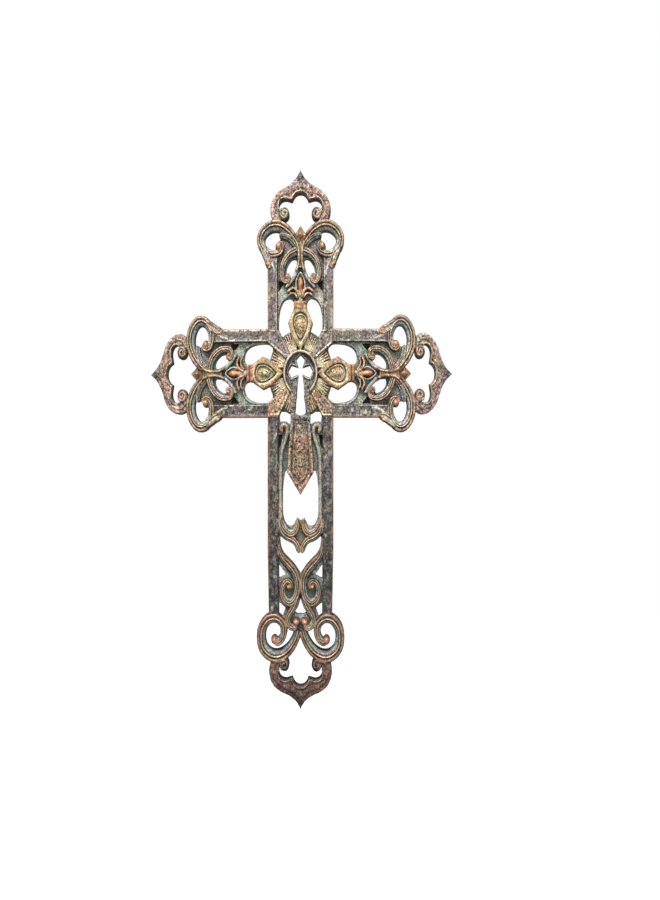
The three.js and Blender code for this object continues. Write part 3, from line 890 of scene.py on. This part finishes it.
def patches(u, v, seed):
    """Soft patches from -1 to 1, one to each whole step of u and v."""
    grid = np.random.default_rng(seed).uniform(-1, 1, (PATCH_ROWS, PATCH_COLUMNS))
    row, column = np.floor(u).astype(int), np.floor(v).astype(int)
    s, t = u - row, v - column
    row, column = row % (PATCH_ROWS - 1), column % (PATCH_COLUMNS - 1)
    near = grid[row, column] * (1 - t) + grid[row, column + 1] * t
    far = grid[row + 1, column] * (1 - t) + grid[row + 1, column + 1] * t
    return near * (1 - s) + far * s


def smoothstep(low, high, value):
    t = np.clip((value - low) / (high - low), 0, 1)
    return t * t * (3 - 2 * t)


def bump(centre, width, value):
    return np.clip(1 - np.abs(value - centre) / width, 0, 1)


def nearest(line, x, z):
    """Distance to a line, the nearest point's index and the offset to the left of travel."""
    line = np.asarray(line, float)
    tangent = np.gradient(line, axis=0)
    tangent /= np.linalg.norm(tangent, axis=1)[:, None]
    distance = np.empty(len(x))
    index = np.empty(len(x), int)
    batch = 4000
    for start in range(0, len(x), batch):
        part = slice(start, start + batch)
        square = (x[part, None] - line[None, :, 0]) ** 2 + (z[part, None] - line[None, :, 1]) ** 2
        index[part] = square.argmin(1)
        distance[part] = np.sqrt(square.min(1))
    gap = np.column_stack([x, z]) - line[index]
    offset = -gap[:, 0] * tangent[index, 1] + gap[:, 1] * tangent[index, 0]
    return distance, index, offset


def edge_distance(outline, x, z):
    closed = list(outline) + [outline[0]]
    return nearest(even_line(closed, 0.3), x, z)[0]


def hollowness(places, cell=0.5, reach=2.5):
    """How far each vertex lies below the mean height around it, as a share of the reach."""
    low = places[:, :2].min(0) - 4
    spot = ((places[:, :2] - low) / cell).astype(int)
    shape = spot.max(0) + 8
    top = np.zeros(shape)
    np.maximum.at(top, (spot[:, 0], spot[:, 1]), places[:, 2])
    filled = (top > 0.5).astype(float)
    radius = int(reach / cell)

    def blur(grid):
        total = np.pad(grid, ((radius + 1, radius), (radius + 1, radius))).cumsum(0).cumsum(1)
        size = 2 * radius + 1
        return total[size:, size:] - total[:-size, size:] - total[size:, :-size] + total[:-size, :-size]

    mean = blur(blur(top)) / np.maximum(blur(blur(filled)), 1e-6)
    return (mean[spot[:, 0], spot[:, 1]] - places[:, 2]) / reach


# The finish: v holds what is known of every vertex, and p the colours

STREAK_SEED, GRAIN_SEED, WORN_SEED = 11, 12, 13
TIP_GREY = np.array([0.13, 0.12, 0.11])
RAY_BRASS = (0.70, 0.59, 0.41)
HALO_BRONZE = (0.24, 0.22, 0.18)
RECESS_GREY = (0.26, 0.25, 0.235)
BLOCK_BRONZE = (0.28, 0.24, 0.205)
BUD_BROWN = np.array([0.34, 0.2, 0.1])
STEM_BROWN = (0.28, 0.17, 0.09)


def bare_finish(places, normals, p):
    """Places, body and rubbed colours, and how far rubbing, painted shade and pits show, before any
    painting.
    """
    foot, across, along = fold(places)
    x, z, height = places.T
    count = len(places)
    return SimpleNamespace(
        places=places, x=x, z=z, height=height, radius=np.hypot(x, z), facing=-normals[:, 1],
        foot=foot, across=across, along=along, worn=patches(x / 1.7, z / 1.7, WORN_SEED),
        body=np.tile(p.verdigris, (count, 1)), bright=np.tile(p.copper, (count, 1)),
        rub=np.zeros(count), grime=np.zeros(count), pits=np.zeros(count), shelter=np.ones(count))


def paint(v, where, body=None, bright=None, **amounts):
    if body is not None:
        v.body[where] = body
    if bright is not None:
        v.bright[where] = bright
    for name, value in amounts.items():
        getattr(v, name)[where] = value[where] if isinstance(value, np.ndarray) else value


def paint_webs_and_rails(v, p):
    paint(v, v.height < 6.3, p.verdigris * 1.1, p.verdigris * 1.5, rub=0.2, grime=0.0, pits=0.4)
    ends = np.where(v.foot, -v.along < FOOT_RAIL_END, v.along < ARM_RAIL_END)
    starts = np.abs(v.along) > RAIL_START
    rail = (v.across > 18.8) & ends & starts & (v.across < 28.6) & (v.height > 5.5)
    edge = smoothstep(25.8, 27.2, v.across)
    inner = bump(20.5, 1.0, v.across)
    low_side = ~v.foot & (v.z < -15)
    rub = np.maximum(edge * np.where(low_side, 0.8, 0.66), inner * np.where(v.foot, 0.35, 0.6))
    paint(v, rail, p.charcoal, p.copper, rub=rub, grime=0.0, pits=0.6)
    v.bright[rail & ~v.foot] = p.copper * 0.55 + p.cream * 0.3
    v.body[rail & low_side] *= 0.54
    v.body[rail & low_side & (v.x > 0)] *= 1.45
    grain = np.random.default_rng(GRAIN_SEED).normal(0, 1, len(v.x))
    grain *= np.where(low_side, 0.7, np.where(v.foot, 0.6, 0.15))
    v.body[rail] *= np.exp(grain[rail, None])
    stain = np.where(low_side, 0.6, np.where(v.foot, 0.5, 0.2)) * v.worn
    v.body[rail] *= np.exp(stain[rail, None])
    streak = patches(v.across / 1.2, np.abs(v.along) / 7 + np.where(v.x > 0, 31, 0), STREAK_SEED)
    v.body[rail] *= 1 + 0.4 * streak[rail, None]
    v.rub[rail] = np.clip(v.rub[rail] * (1.1 + 0.5 * streak[rail]), 0, 1)
    # Painted shade: a dark line in the crease between the foot's rails and the shaft rib
    gutter = v.foot & (v.along > -92) & (v.along < -40) & (v.height < 9.2)
    v.grime = np.maximum(v.grime, bump(18.6, 0.7, v.across) * 0.85 * gutter)
    v.bright[rail & (v.across < 24)] = p.cream * 0.8
    shade = np.where(v.foot, np.interp(v.along, (-150, -105, -60, -24), (0.3, 0.35, 0.5, 0.58)), 1.0)
    v.body[rail] *= shade[rail, None]
    v.bright[rail] *= 0.4 + 0.6 * shade[rail, None]


def paint_finials(v, p):
    from_tip = np.where(v.foot, FOOT_PLAN_REACH + v.along, ARM_PLAN_REACH - v.along)
    finial = from_tip < 32.6
    line = even_line([(x + 0.7, z + 1.1) for x, z in finial_inside()], 0.4)
    rim = bump(0, 1.0, nearest(line, v.across, -from_tip)[0])
    paint(v, finial, p.rose, p.cream * 0.85, rub=rim * 0.92, grime=0.0, pits=1.0)
    shade = smoothstep(3, 15, from_tip)[:, None]
    tip = finial & (from_tip < 15)
    v.body[tip] = (TIP_GREY * (1 - shade) + p.rose * shade)[tip]
    v.body[finial] *= np.exp(0.8 * v.worn[finial, None])
    eye = np.hypot(v.across - FINIAL_EYE[0], -from_tip - FINIAL_EYE[1])
    gap = nearest(even_line(finial_spiral(), 0.3), v.across, -from_tip)[0]
    # Painted shade between the turns of the finial's roll
    paint(v, finial & (eye < 4.6), bright=p.rose * 0.7 + p.cream * 0.35, rub=bump(0, 0.9, gap) * 0.8,
          grime=smoothstep(0.6, 1.1, gap) * 0.75, pits=0.4)
    lower = finial & v.foot
    v.body[lower] *= (0.41, 0.34, 0.36)
    v.bright[lower] *= 0.55
    v.pits[lower] = 0.5


def paint_centre(v, p):
    # Painted shade at the foot of the rays, where they meet the plate
    paint(v, v.radius < 27.6, p.olive, RAY_BRASS, rub=smoothstep(7.5, 8.4, v.height) * 0.95,
          grime=bump(7.1, 0.5, v.height) * 0.6, pits=0.5)
    halo = bump(HALO_RADIUS, 1.9, v.radius)
    ring = (halo > 0) & (v.height > 8.5)
    paint(v, ring, HALO_BRONZE, p.cream * 0.9, rub=halo * 0.95, grime=0.0, pits=0.4)
    floor = (v.radius < 12.6) & (v.height < 8.5)
    lip = bump(1.0, 0.7, nearest(even_line(cross_opening(), 0.3), v.x, v.z)[0])
    paint(v, floor, RECESS_GREY, p.cream * 0.9, rub=lip, grime=0.0, pits=1.0)
    x, z = np.abs(v.x), np.abs(v.z)
    block = inside(corner_block(), x, z) & (v.height > 7.4)
    rim = edge_distance(corner_block(), x, z)
    low = (v.z < 0)[:, None]
    left = (v.x < 0)[:, None]
    lower = np.where(left, p.rose * (1.75, 1.6, 1.35), p.rose * (0.95, 0.88, 0.8))
    v.body[block] = np.where(low, lower, BLOCK_BRONZE)[block]
    v.bright[block] = np.where(low, p.gold * 0.9, p.cream * 0.75)[block]
    # Painted shade in a line inside each block's rim
    paint(v, block, rub=bump(1.3, 1.1, rim), grime=bump(2.7, 0.6, rim) * 0.6, pits=1.5)


def paint_petals(v, p):
    arm = ~v.foot
    petal = arm & inside(petal_outline(), v.across, v.along) & (v.height > 6.5)
    depth = edge_distance(petal_pocket(), v.across, v.along)
    within = inside(petal_pocket(), v.across, v.along)
    slope = bump(0.4, 1.5, depth)
    paint(v, petal, p.brass * 0.68, p.gold, rub=0.25 + 0.75 * slope, grime=0.0, pits=0.3)
    line = bump(1.35, 0.7, depth)
    kernel = smoothstep(2.1, 2.9, depth)
    # Painted shade in a groove along the edge of the petal's pocket
    paint(v, petal & within, p.olive * 1.2, p.gold, rub=np.maximum(line * 0.8, kernel * 0.5),
          grime=bump(0.75, 0.4, depth) * 0.25, pits=kernel * 1.5)
    v.body[petal & (depth > 2.3) & within] = p.brass * 0.8
    # Petals take half of the painted recess shade
    v.shelter[petal] = 0.5
    warm = petal & (np.abs(v.x) > np.abs(v.z)) & ~within
    share = smoothstep(1.2, 2.6, depth)[:, None]
    v.body[warm] = (p.brass * 0.62 * (1 - share) + p.copper * 0.72 * share)[warm]
    collar = arm & (v.across < 5.8) & (v.along > 40.8) & (v.along < 46)
    paint(v, collar, p.ember * 0.7, p.copper * 1.1, rub=0.5, grime=0.0, pits=0.1)


def paint_spear(v, p):
    area = v.foot & inside(spear_outline(), v.across, v.along) & (v.height > 7)
    upper = smoothstep(-44, -32, v.along)[:, None]
    tone = p.verdigris * (0.6, 0.56, 0.54) * upper + p.rose * (0.95, 0.86, 0.73) * (1 - upper)
    v.body[area] = tone[area]
    rim_gap = v.across - np.clip((-29 - v.along) / 32, 0, 1) * 3.0 - 7.5
    rim = bump(0, 0.9, rim_gap) * np.interp(v.along, (-46, -32), (1.0, 0.45))
    point = bump(0, 1.4, np.abs(v.along + 72.6 - v.across * 1.17)) * (v.along < -60)
    line_gap = edge_distance(spear_pocket(SPEAR_LINE_INSET), v.across, v.along)
    below = v.along < -36
    line = bump(0, 0.9, line_gap) * below
    rub = np.maximum(np.maximum(rim, point * 0.8), line * 0.65)
    # Painted shade in the grooves beside the rim and beside the inner line
    groove = np.maximum(bump(2.2, 0.7, np.abs(rim_gap)), bump(1.5, 0.6, line_gap) * below)
    paint(v, area, bright=p.cream * (0.98, 0.84, 0.8), rub=rub, grime=groove * 0.75, pits=1.5)


def paint_strokes(v, p):
    best = np.full(len(v.x), -1e9)
    for stroke in arm_strokes():
        paint_stroke(v, p, stroke, ~v.foot, best)
    for stroke in foot_strokes():
        paint_stroke(v, p, stroke, v.foot, best)


def paint_stroke(v, p, stroke, limb, best):
    """Colours the vertices on a stroke, where no stroke drawn before stands higher."""
    low = stroke.line.min(0) - stroke.half_width
    high = stroke.line.max(0) + stroke.half_width
    near = limb & (v.across > low[0]) & (v.across < high[0]) & (v.along > low[1])
    near = np.flatnonzero(near & (v.along < high[1]))
    across, along, height = v.across[near], v.along[near], v.height[near]
    distance, index, offset = nearest(stroke.line, across, along)
    width = stroke_widths(stroke)[index]
    u = -offset / width * stroke.side
    corners = np.array(stroke.section[1:-1])
    level = stroke.height + np.interp(u, corners[:, 0], corners[:, 1]) * width
    on = (np.abs(u) < 1.08) & (distance < width * 1.3) & (level > best[near])
    on &= (index > 0) | (distance < 1.05 * np.abs(offset) + 0.2)
    on &= height > level - 2.6
    beside_rail = np.where(v.foot[near], -along < FOOT_RAIL_END - 1, along < ARM_RAIL_END - 1)
    on &= ~(beside_rail & (across > 19.2) & (height < 9.3))
    spot = near[on]
    best[spot] = level[on]
    colour_stroke(v, p, stroke, spot, u[on])


def stroke_colours(kind, p):
    """Colours of a stroke's crest, outer bead and flank."""
    return {
        "scroll": (p.gold * 0.68 + p.cream * 0.32, p.copper * 0.7 + p.cream * 0.24,
                   p.verdigris * (1.15, 1.2, 1.25)),
        "foot_scroll": (p.gold * 0.85, p.copper * 0.68 + p.verdigris * 0.1, p.verdigris * 0.85),
        "shaft": (p.cream * 0.5 + p.copper * 0.2, p.verdigris, p.verdigris * 0.85),
        "bracket": (p.gold * 0.9, p.copper, p.verdigris),
        "leaf": (p.gold * 0.9, p.copper, p.umber),
        "lobe": (p.cream * 0.8, p.verdigris * 1.3, p.verdigris * 1.1),
        "roof": (p.cream * 0.7, p.verdigris, p.verdigris),
        "stem": (p.gold * 0.6 + p.cream * 0.22, p.copper, STEM_BROWN),
        "lily": (p.gold, p.ember, p.copper * 0.6),
    }[kind]


def colour_stroke(v, p, stroke, spot, u):
    crest, outer, flank = stroke_colours(stroke.kind, p)
    if stroke.section is ROUND_SECTION:
        v.body[spot] = flank
        v.bright[spot] = crest
        v.rub[spot] = bump(0, 0.6, u) * (0.65 if stroke.kind == "lobe" else 0.9)
        # Painted shade along the round rib's sides, where it meets the web
        v.grime[spot] = bump(0.95, 0.3, np.abs(u)) * 0.5
    else:
        is_flank = smoothstep(0.24, 0.34, u)[:, None]
        v.body[spot] = p.umber * (1 - is_flank) + flank * is_flank
        lean = smoothstep(-0.3, -0.2, u)[:, None]
        v.bright[spot] = outer * (1 - lean) + crest * lean
        bead = np.clip(1.6 * bump(-0.6, 0.4, u), 0, 1) * 0.76
        v.rub[spot] = np.maximum(bead, np.clip(1.5 * bump(0.02, 0.24, u), 0, 1))
        # Painted shade in the grooves beside the crest and along both edges of the scroll
        grooves = np.maximum(bump(-0.24, 0.12, u), bump(0.32, 0.1, u))
        edges = np.maximum(bump(-1.0, 0.16, u) * 0.6, smoothstep(0.8, 0.98, u) * 0.9)
        v.grime[spot] = np.maximum(grooves * 0.9, edges)
    v.pits[spot] = 0.4


def paint_lilies(v, p):
    arm = ~v.foot
    heart = arm & (np.hypot(v.across / 2.9, (v.along - 57) / 5.8) < 1)
    paint(v, heart, p.ember, p.gold, rub=bump(0, 1.2, v.across) * 0.6, grime=0.0, pits=0.2)
    bud = arm & (v.across + np.abs(v.along - 88.4) < 6.4) & (v.along > 82)
    from_middle = np.abs(v.along - BUD_MIDDLE)
    ridge = np.minimum(v.across, from_middle)
    # Painted shade towards the bud's edges
    paint(v, bud, BUD_BROWN, p.copper * 0.6 + p.gold * 0.4, rub=bump(0, 0.9, ridge) * 0.7,
          grime=smoothstep(4.2, 5.6, v.across + from_middle) * 0.6, pits=0.2)
    # Painted shade between the stem's two lines
    stem = arm & (v.across < 0.6) & (v.along > 68) & (v.along < 82)
    paint(v, stem, BUD_BROWN * 0.8, p.gold * 0.8, rub=0.2, grime=0.35, pits=0.1)


def paint_eyes(v, p):
    rows = [
        (~v.foot, LOOP_EYE, 3.0, 1.15), (~v.foot, INNER_EYE, 2.1, 1.0), (~v.foot, TAIL_BALL, 2.2, 1.0),
        (v.foot, VOLUTE_EYE, 2.4, 1.2), (v.foot, BALL_CENTRE, 3.4, 1.25), (v.foot, SPIRAL_EYE, 3.3, 1.15),
        (v.foot, SHAFT_EYE, 2.6, 1.0),
    ]
    for limb, eye, reach, tone in rows:
        distance = np.hypot(v.across - eye[0], (v.along - eye[1]) * 1.1)
        ball = limb & (distance < reach) & (v.height > 8.5)
        paint(v, ball, p.ember * 0.8, p.copper * tone, rub=1 - 0.6 * distance / reach, grime=0.0)


def paint_recess_shade(v, p):
    """Paints shade: darkens what lies below its surroundings, the walls that turn away from the front, the
    faces near the wall, and the back.
    """
    # Painted shade, like ambient occlusion, on what lies below the mean height around it
    hollow = np.clip(hollowness(v.places) - 0.5, 0, 1) * v.shelter
    v.grime = np.maximum(v.grime, hollow * 0.6)
    v.rub = np.clip(v.rub * (1 - np.clip(hollow, 0, 0.8)), 0, 1)
    # Painted shade on walls and steep bevels that turn away from the front
    wall = smoothstep(0.6, 0.15, v.facing)
    v.grime = np.maximum(v.grime, wall * 0.86)
    # Painted shade: front faces close to the wall, such as the pocket floors, are painted nearly black
    v.grime[(v.height < 2.4) & (v.facing > 0.3)] = 0.95
    # The volute's deep recess: verdigris patina under painted shade
    eye = np.hypot(v.across - VOLUTE_EYE[0], v.along - VOLUTE_EYE[1] + 1.5)
    deep = v.foot & (eye < 6) & (v.height < 7.5)
    paint(v, deep, p.verdigris * (0.8, 1.0, 0.9), grime=0.62)
    v.rub *= 1 - wall
    # The back: charcoal metal with a little painted shade
    paint(v, v.facing < -0.5, p.charcoal * 0.8, rub=0.0, grime=0.3, pits=0.3)


COATS = (
    paint_webs_and_rails, paint_finials, paint_centre, paint_petals, paint_spear, paint_strokes,
    paint_lilies, paint_eyes, paint_recess_shade,
)


def set_colours(mesh, name, values):
    attribute = mesh.attributes.new(name, "FLOAT_COLOR", "POINT")
    flat = np.ones((len(values), 4), np.float32)
    flat[:, :3] = values
    attribute.data.foreach_set("color", flat.ravel())


def set_amounts(mesh, name, values):
    attribute = mesh.attributes.new(name, "FLOAT", "POINT")
    attribute.data.foreach_set("value", values.astype(np.float32))


def add_node(tree, kind, inputs, **settings):
    """A shader node with its settings; an input is linked if it is a socket, and else set."""
    node = tree.nodes.new("ShaderNode" + kind)
    for name, value in settings.items():
        setattr(node, name, value)
    for key, value in inputs.items():
        if isinstance(value, bpy.types.NodeSocket):
            tree.links.new(value, node.inputs[key])
        else:
            node.inputs[key].default_value = value
    return node


class WALLCROSS_OT_finish(bpy.types.Operator):
    """Lays the antique finish on the casting: patina, rubbed crests, painted shade and pits"""

    bl_idname = "wallcross.finish"
    bl_label = "Lay the finish"

    def execute(self, context):
        cast = bpy.data.objects[PIECE_NAME]
        colours = context.scene.cross_finish
        palette = SimpleNamespace(
            **{name: np.array(getattr(colours, name)) for name in CrossFinish.__annotations__})
        mesh = cast.data
        normals = np.zeros(len(mesh.vertices) * 3)
        mesh.vertices.foreach_get("normal", normals)
        work = bare_finish(vertex_places(cast), normals.reshape(-1, 3), palette)
        for coat in COATS:
            coat(work, palette)
        set_colours(mesh, "patina", np.clip(work.body, 0, 1))
        set_colours(mesh, "rubbed", np.clip(work.bright, 0, 1))
        for name in ("rub", "grime", "pits"):
            set_amounts(mesh, name, getattr(work, name))
        mesh.materials.clear()
        mesh.materials.append(self.material(colours))
        return {"FINISHED"}

    def material(self, colours):
        material = bpy.data.materials.new("antique_cast_metal")
        material.use_nodes = True
        self.tree = material.node_tree
        self.tree.nodes.clear()
        place = self.add("TexCoord", {}).outputs["Object"]
        mottle = self.noise(place, 260, 5, 0.65)["Fac"]
        tint = self.noise(place, 90, 3, 0.5)["Color"]
        speckle = self.noise(place, 860, 2, 0.6)["Fac"]
        crater = self.noise(place, 720, 3, 0.6)["Fac"]
        rub = self.attribute("rub", "Fac")
        grime = self.attribute("grime", "Fac")
        pits = self.attribute("pits", "Fac")
        patina = self.attribute("patina", "Color")
        rubbed = self.tinted(self.attribute("rubbed", "Color"), tint)
        grain = self.remap(speckle, 0.36, 0.64, 0.4, 1.6)
        shade = self.math("MULTIPLY", self.remap(mottle, 0.34, 0.66, 0.65, 1.4), grain)
        body = self.scale(self.tinted(patina, tint), shade)
        fleck = self.math("MULTIPLY", self.remap(speckle, 0.57, 0.68, 0.0, 0.5), pits)
        body = self.blend(fleck, body, rubbed)
        worn = self.math("ADD", self.remap(mottle, 0.3, 0.7, -0.5, 0.35), rub)
        touched = self.remap(rub, 0.0, 0.25, 0.0, 1.0)
        worn = self.math("MULTIPLY", self.remap(worn, 0.25, 0.8, 0.0, 1.0), touched)
        face = self.blend(worn, body, self.scale(rubbed, self.remap(speckle, 0.3, 0.7, 0.65, 1.3)))
        pit = self.math("MULTIPLY", self.remap(crater, 0.36, 0.43, 1.0, 0.0), pits)
        # The dark of the pits and the painted shade in recesses, creases and on walls both blend the face
        # towards the near-black
        pits_and_shade = self.math("MAXIMUM", self.math("MULTIPLY", pit, 0.82), grime)
        face = self.blend(pits_and_shade, face, (*colours.soot, 1))
        wear_outside_pits_and_shade = self.math("MULTIPLY", worn, self.math("SUBTRACT", 1.0, pits_and_shade))
        relief = self.math("SUBTRACT", self.math("MULTIPLY", speckle, 0.35), self.math("MULTIPLY", pit, 0.7))
        skin = self.add("Bump", {"Strength": 0.75, "Distance": 0.0006, "Height": relief})
        shader = self.add("BsdfPrincipled", {
            "Base Color": face,
            "Metallic": self.remap(wear_outside_pits_and_shade, 0, 1, 0.2, 0.5),
            "Roughness": self.remap(wear_outside_pits_and_shade, 0, 1, 0.62, 0.4),
            "Normal": skin.outputs[0],
        })
        self.add("OutputMaterial", {"Surface": shader.outputs[0]})
        return material

    def add(self, kind, inputs, **settings):
        return add_node(self.tree, kind, inputs, **settings)

    def attribute(self, name, output):
        return self.add("Attribute", {}, attribute_name=name).outputs[output]

    def noise(self, place, scale, detail, roughness):
        inputs = {"Vector": place, "Scale": scale, "Detail": detail, "Roughness": roughness}
        return self.add("TexNoise", inputs).outputs

    def tinted(self, body, tint):
        """The body colour, warmer or cooler from place to place."""
        spread = {0: tint, 1: (0.7, 0.5, 0.7), 2: (0.65, 0.75, 0.65)}
        cast = self.add("VectorMath", spread, operation="MULTIPLY_ADD").outputs[0]
        return self.add("VectorMath", {0: body, 1: cast}, operation="MULTIPLY").outputs[0]

    def remap(self, value, from_low, from_high, to_low, to_high):
        return self.add("MapRange", {
            "Value": value, "From Min": from_low, "From Max": from_high, "To Min": to_low, "To Max": to_high,
        }).outputs["Result"]

    def math(self, operation, *values):
        return self.add("Math", dict(enumerate(values)), operation=operation).outputs[0]

    def blend(self, factor, first, second):
        return self.add("Mix", {0: factor, 6: first, 7: second}, data_type="RGBA").outputs[2]

    def scale(self, first, factor):
        return self.add("VectorMath", {0: first, "Scale": factor}, operation="SCALE").outputs[0]


# Places of the lights from the middle of the cross, and half the picture's columns and rows
KEY_OFFSET = Vector((-0.25, -0.75, 0.95))
FILL_OFFSET = Vector((0.5, -1.1, 0.1))
HALF_COLUMNS = 330
HALF_ROWS = 450


class WALLCROSS_OT_stage(bpy.types.Operator):
    """Sets the floor, the soft lights, the white surround and the camera"""

    bl_idname = "wallcross.stage"
    bl_label = "Set the stage"

    def execute(self, context):
        stage = context.scene.cross_stage
        low, high = (Vector(c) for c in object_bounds())
        middle = (low + high) / 2
        self.floor(low.z - stage.floor_drop)
        self.light("key_light", middle + KEY_OFFSET, middle, 0.9, stage.key_power)
        self.light("fill_light", middle + FILL_OFFSET, middle, 1.0, stage.fill_power)
        self.surround(context.scene, stage.surround)
        self.camera(context.scene, stage, middle)
        context.scene.view_settings.view_transform = "Standard"
        return {"FINISHED"}

    def floor(self, level):
        clear_selection()
        bpy.ops.mesh.primitive_plane_add(size=6, location=(0, 0, level))
        floor = added("floor")
        material = bpy.data.materials.new("pale_floor")
        material.use_nodes = True
        shader = material.node_tree.nodes["Principled BSDF"]
        shader.inputs["Base Color"].default_value = (0.9, 0.9, 0.9, 1)
        shader.inputs["Roughness"].default_value = 0.9
        shader.inputs["Emission Color"].default_value = (1, 1, 1, 1)
        shader.inputs["Emission Strength"].default_value = 0.8
        floor.data.materials.append(material)
        floor.visible_diffuse = False
        floor.visible_glossy = False
        floor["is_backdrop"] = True

    def light(self, name, place, target, size, power):
        bpy.ops.object.light_add(type="AREA", location=place)
        light = added(name)
        light.data.size = size
        light.data.energy = power
        light.rotation_euler = (target - place).to_track_quat("-Z", "Y").to_euler()

    def surround(self, scene, strength):
        world = bpy.data.worlds.new("white_surround")
        scene.world = world
        world.use_nodes = True
        tree = world.node_tree
        background = tree.nodes["Background"]
        background.inputs["Color"].default_value = (1, 1, 1, 1)
        seen = add_node(tree, "LightPath", {}).outputs["Is Camera Ray"]
        level = add_node(tree, "MapRange", {"Value": seen, "To Min": strength, "To Max": 1.0})
        tree.links.new(level.outputs["Result"], background.inputs["Strength"])

    def camera(self, scene, stage, middle):
        place = (middle.x + stage.aside, -stage.distance, middle.z - stage.below)
        bpy.ops.object.camera_add(location=place, rotation=(math.pi / 2, 0, 0))
        camera = added("front_camera")
        camera.data.type = "PANO"
        camera.data.panorama_type = "CENTRAL_CYLINDRICAL"
        half_turn = HALF_COLUMNS / stage.columns_per_metre / stage.distance
        half_rise = HALF_ROWS / stage.rows_per_metre / stage.distance
        for axis, half in (("u", half_turn), ("v", half_rise)):
            setattr(camera.data, f"central_cylindrical_range_{axis}_min", -half)
            setattr(camera.data, f"central_cylindrical_range_{axis}_max", half)
        scene.camera = camera


class WALLCROSS_PT_panel(bpy.types.Panel):
    """Lists the steps that make the cross"""

    bl_idname = "WALLCROSS_PT_panel"
    bl_label = "Wall cross"
    bl_space_type = "VIEW_3D"
    bl_region_type = "UI"
    bl_category = "Wall cross"

    def draw(self, context):
        for step in STEPS:
            self.layout.operator(step.bl_idname)
        for group in GROUPS:
            values = getattr(context.scene, group)
            box = self.layout.box()
            for name in values.__annotations__:
                box.prop(values, name)


GROUPS = {"cross_sizes": CrossSizes, "cross_finish": CrossFinish, "cross_stage": CrossStage}
STEPS = (
    WALLCROSS_OT_arms,
    WALLCROSS_OT_foot,
    WALLCROSS_OT_centre,
    WALLCROSS_OT_casting,
    WALLCROSS_OT_finish,
    WALLCROSS_OT_stage,
)
CLASSES = (*GROUPS.values(), *STEPS, WALLCROSS_PT_panel)


def register():
    for cls in CLASSES:
        bpy.utils.register_class(cls)
    for name, group in GROUPS.items():
        setattr(bpy.types.Scene, name, bpy.props.PointerProperty(type=group))


def unregister():
    for name in GROUPS:
        delattr(bpy.types.Scene, name)
    for cls in reversed(CLASSES):
        bpy.utils.unregister_class(cls)


def main():
    register()
    bpy.ops.wallcross.arms()
    bpy.ops.wallcross.foot()
    bpy.ops.wallcross.centre()
    bpy.ops.wallcross.casting()
    bpy.ops.wallcross.finish()
    bpy.ops.wallcross.stage()


if __name__ == "__main__":
    main()
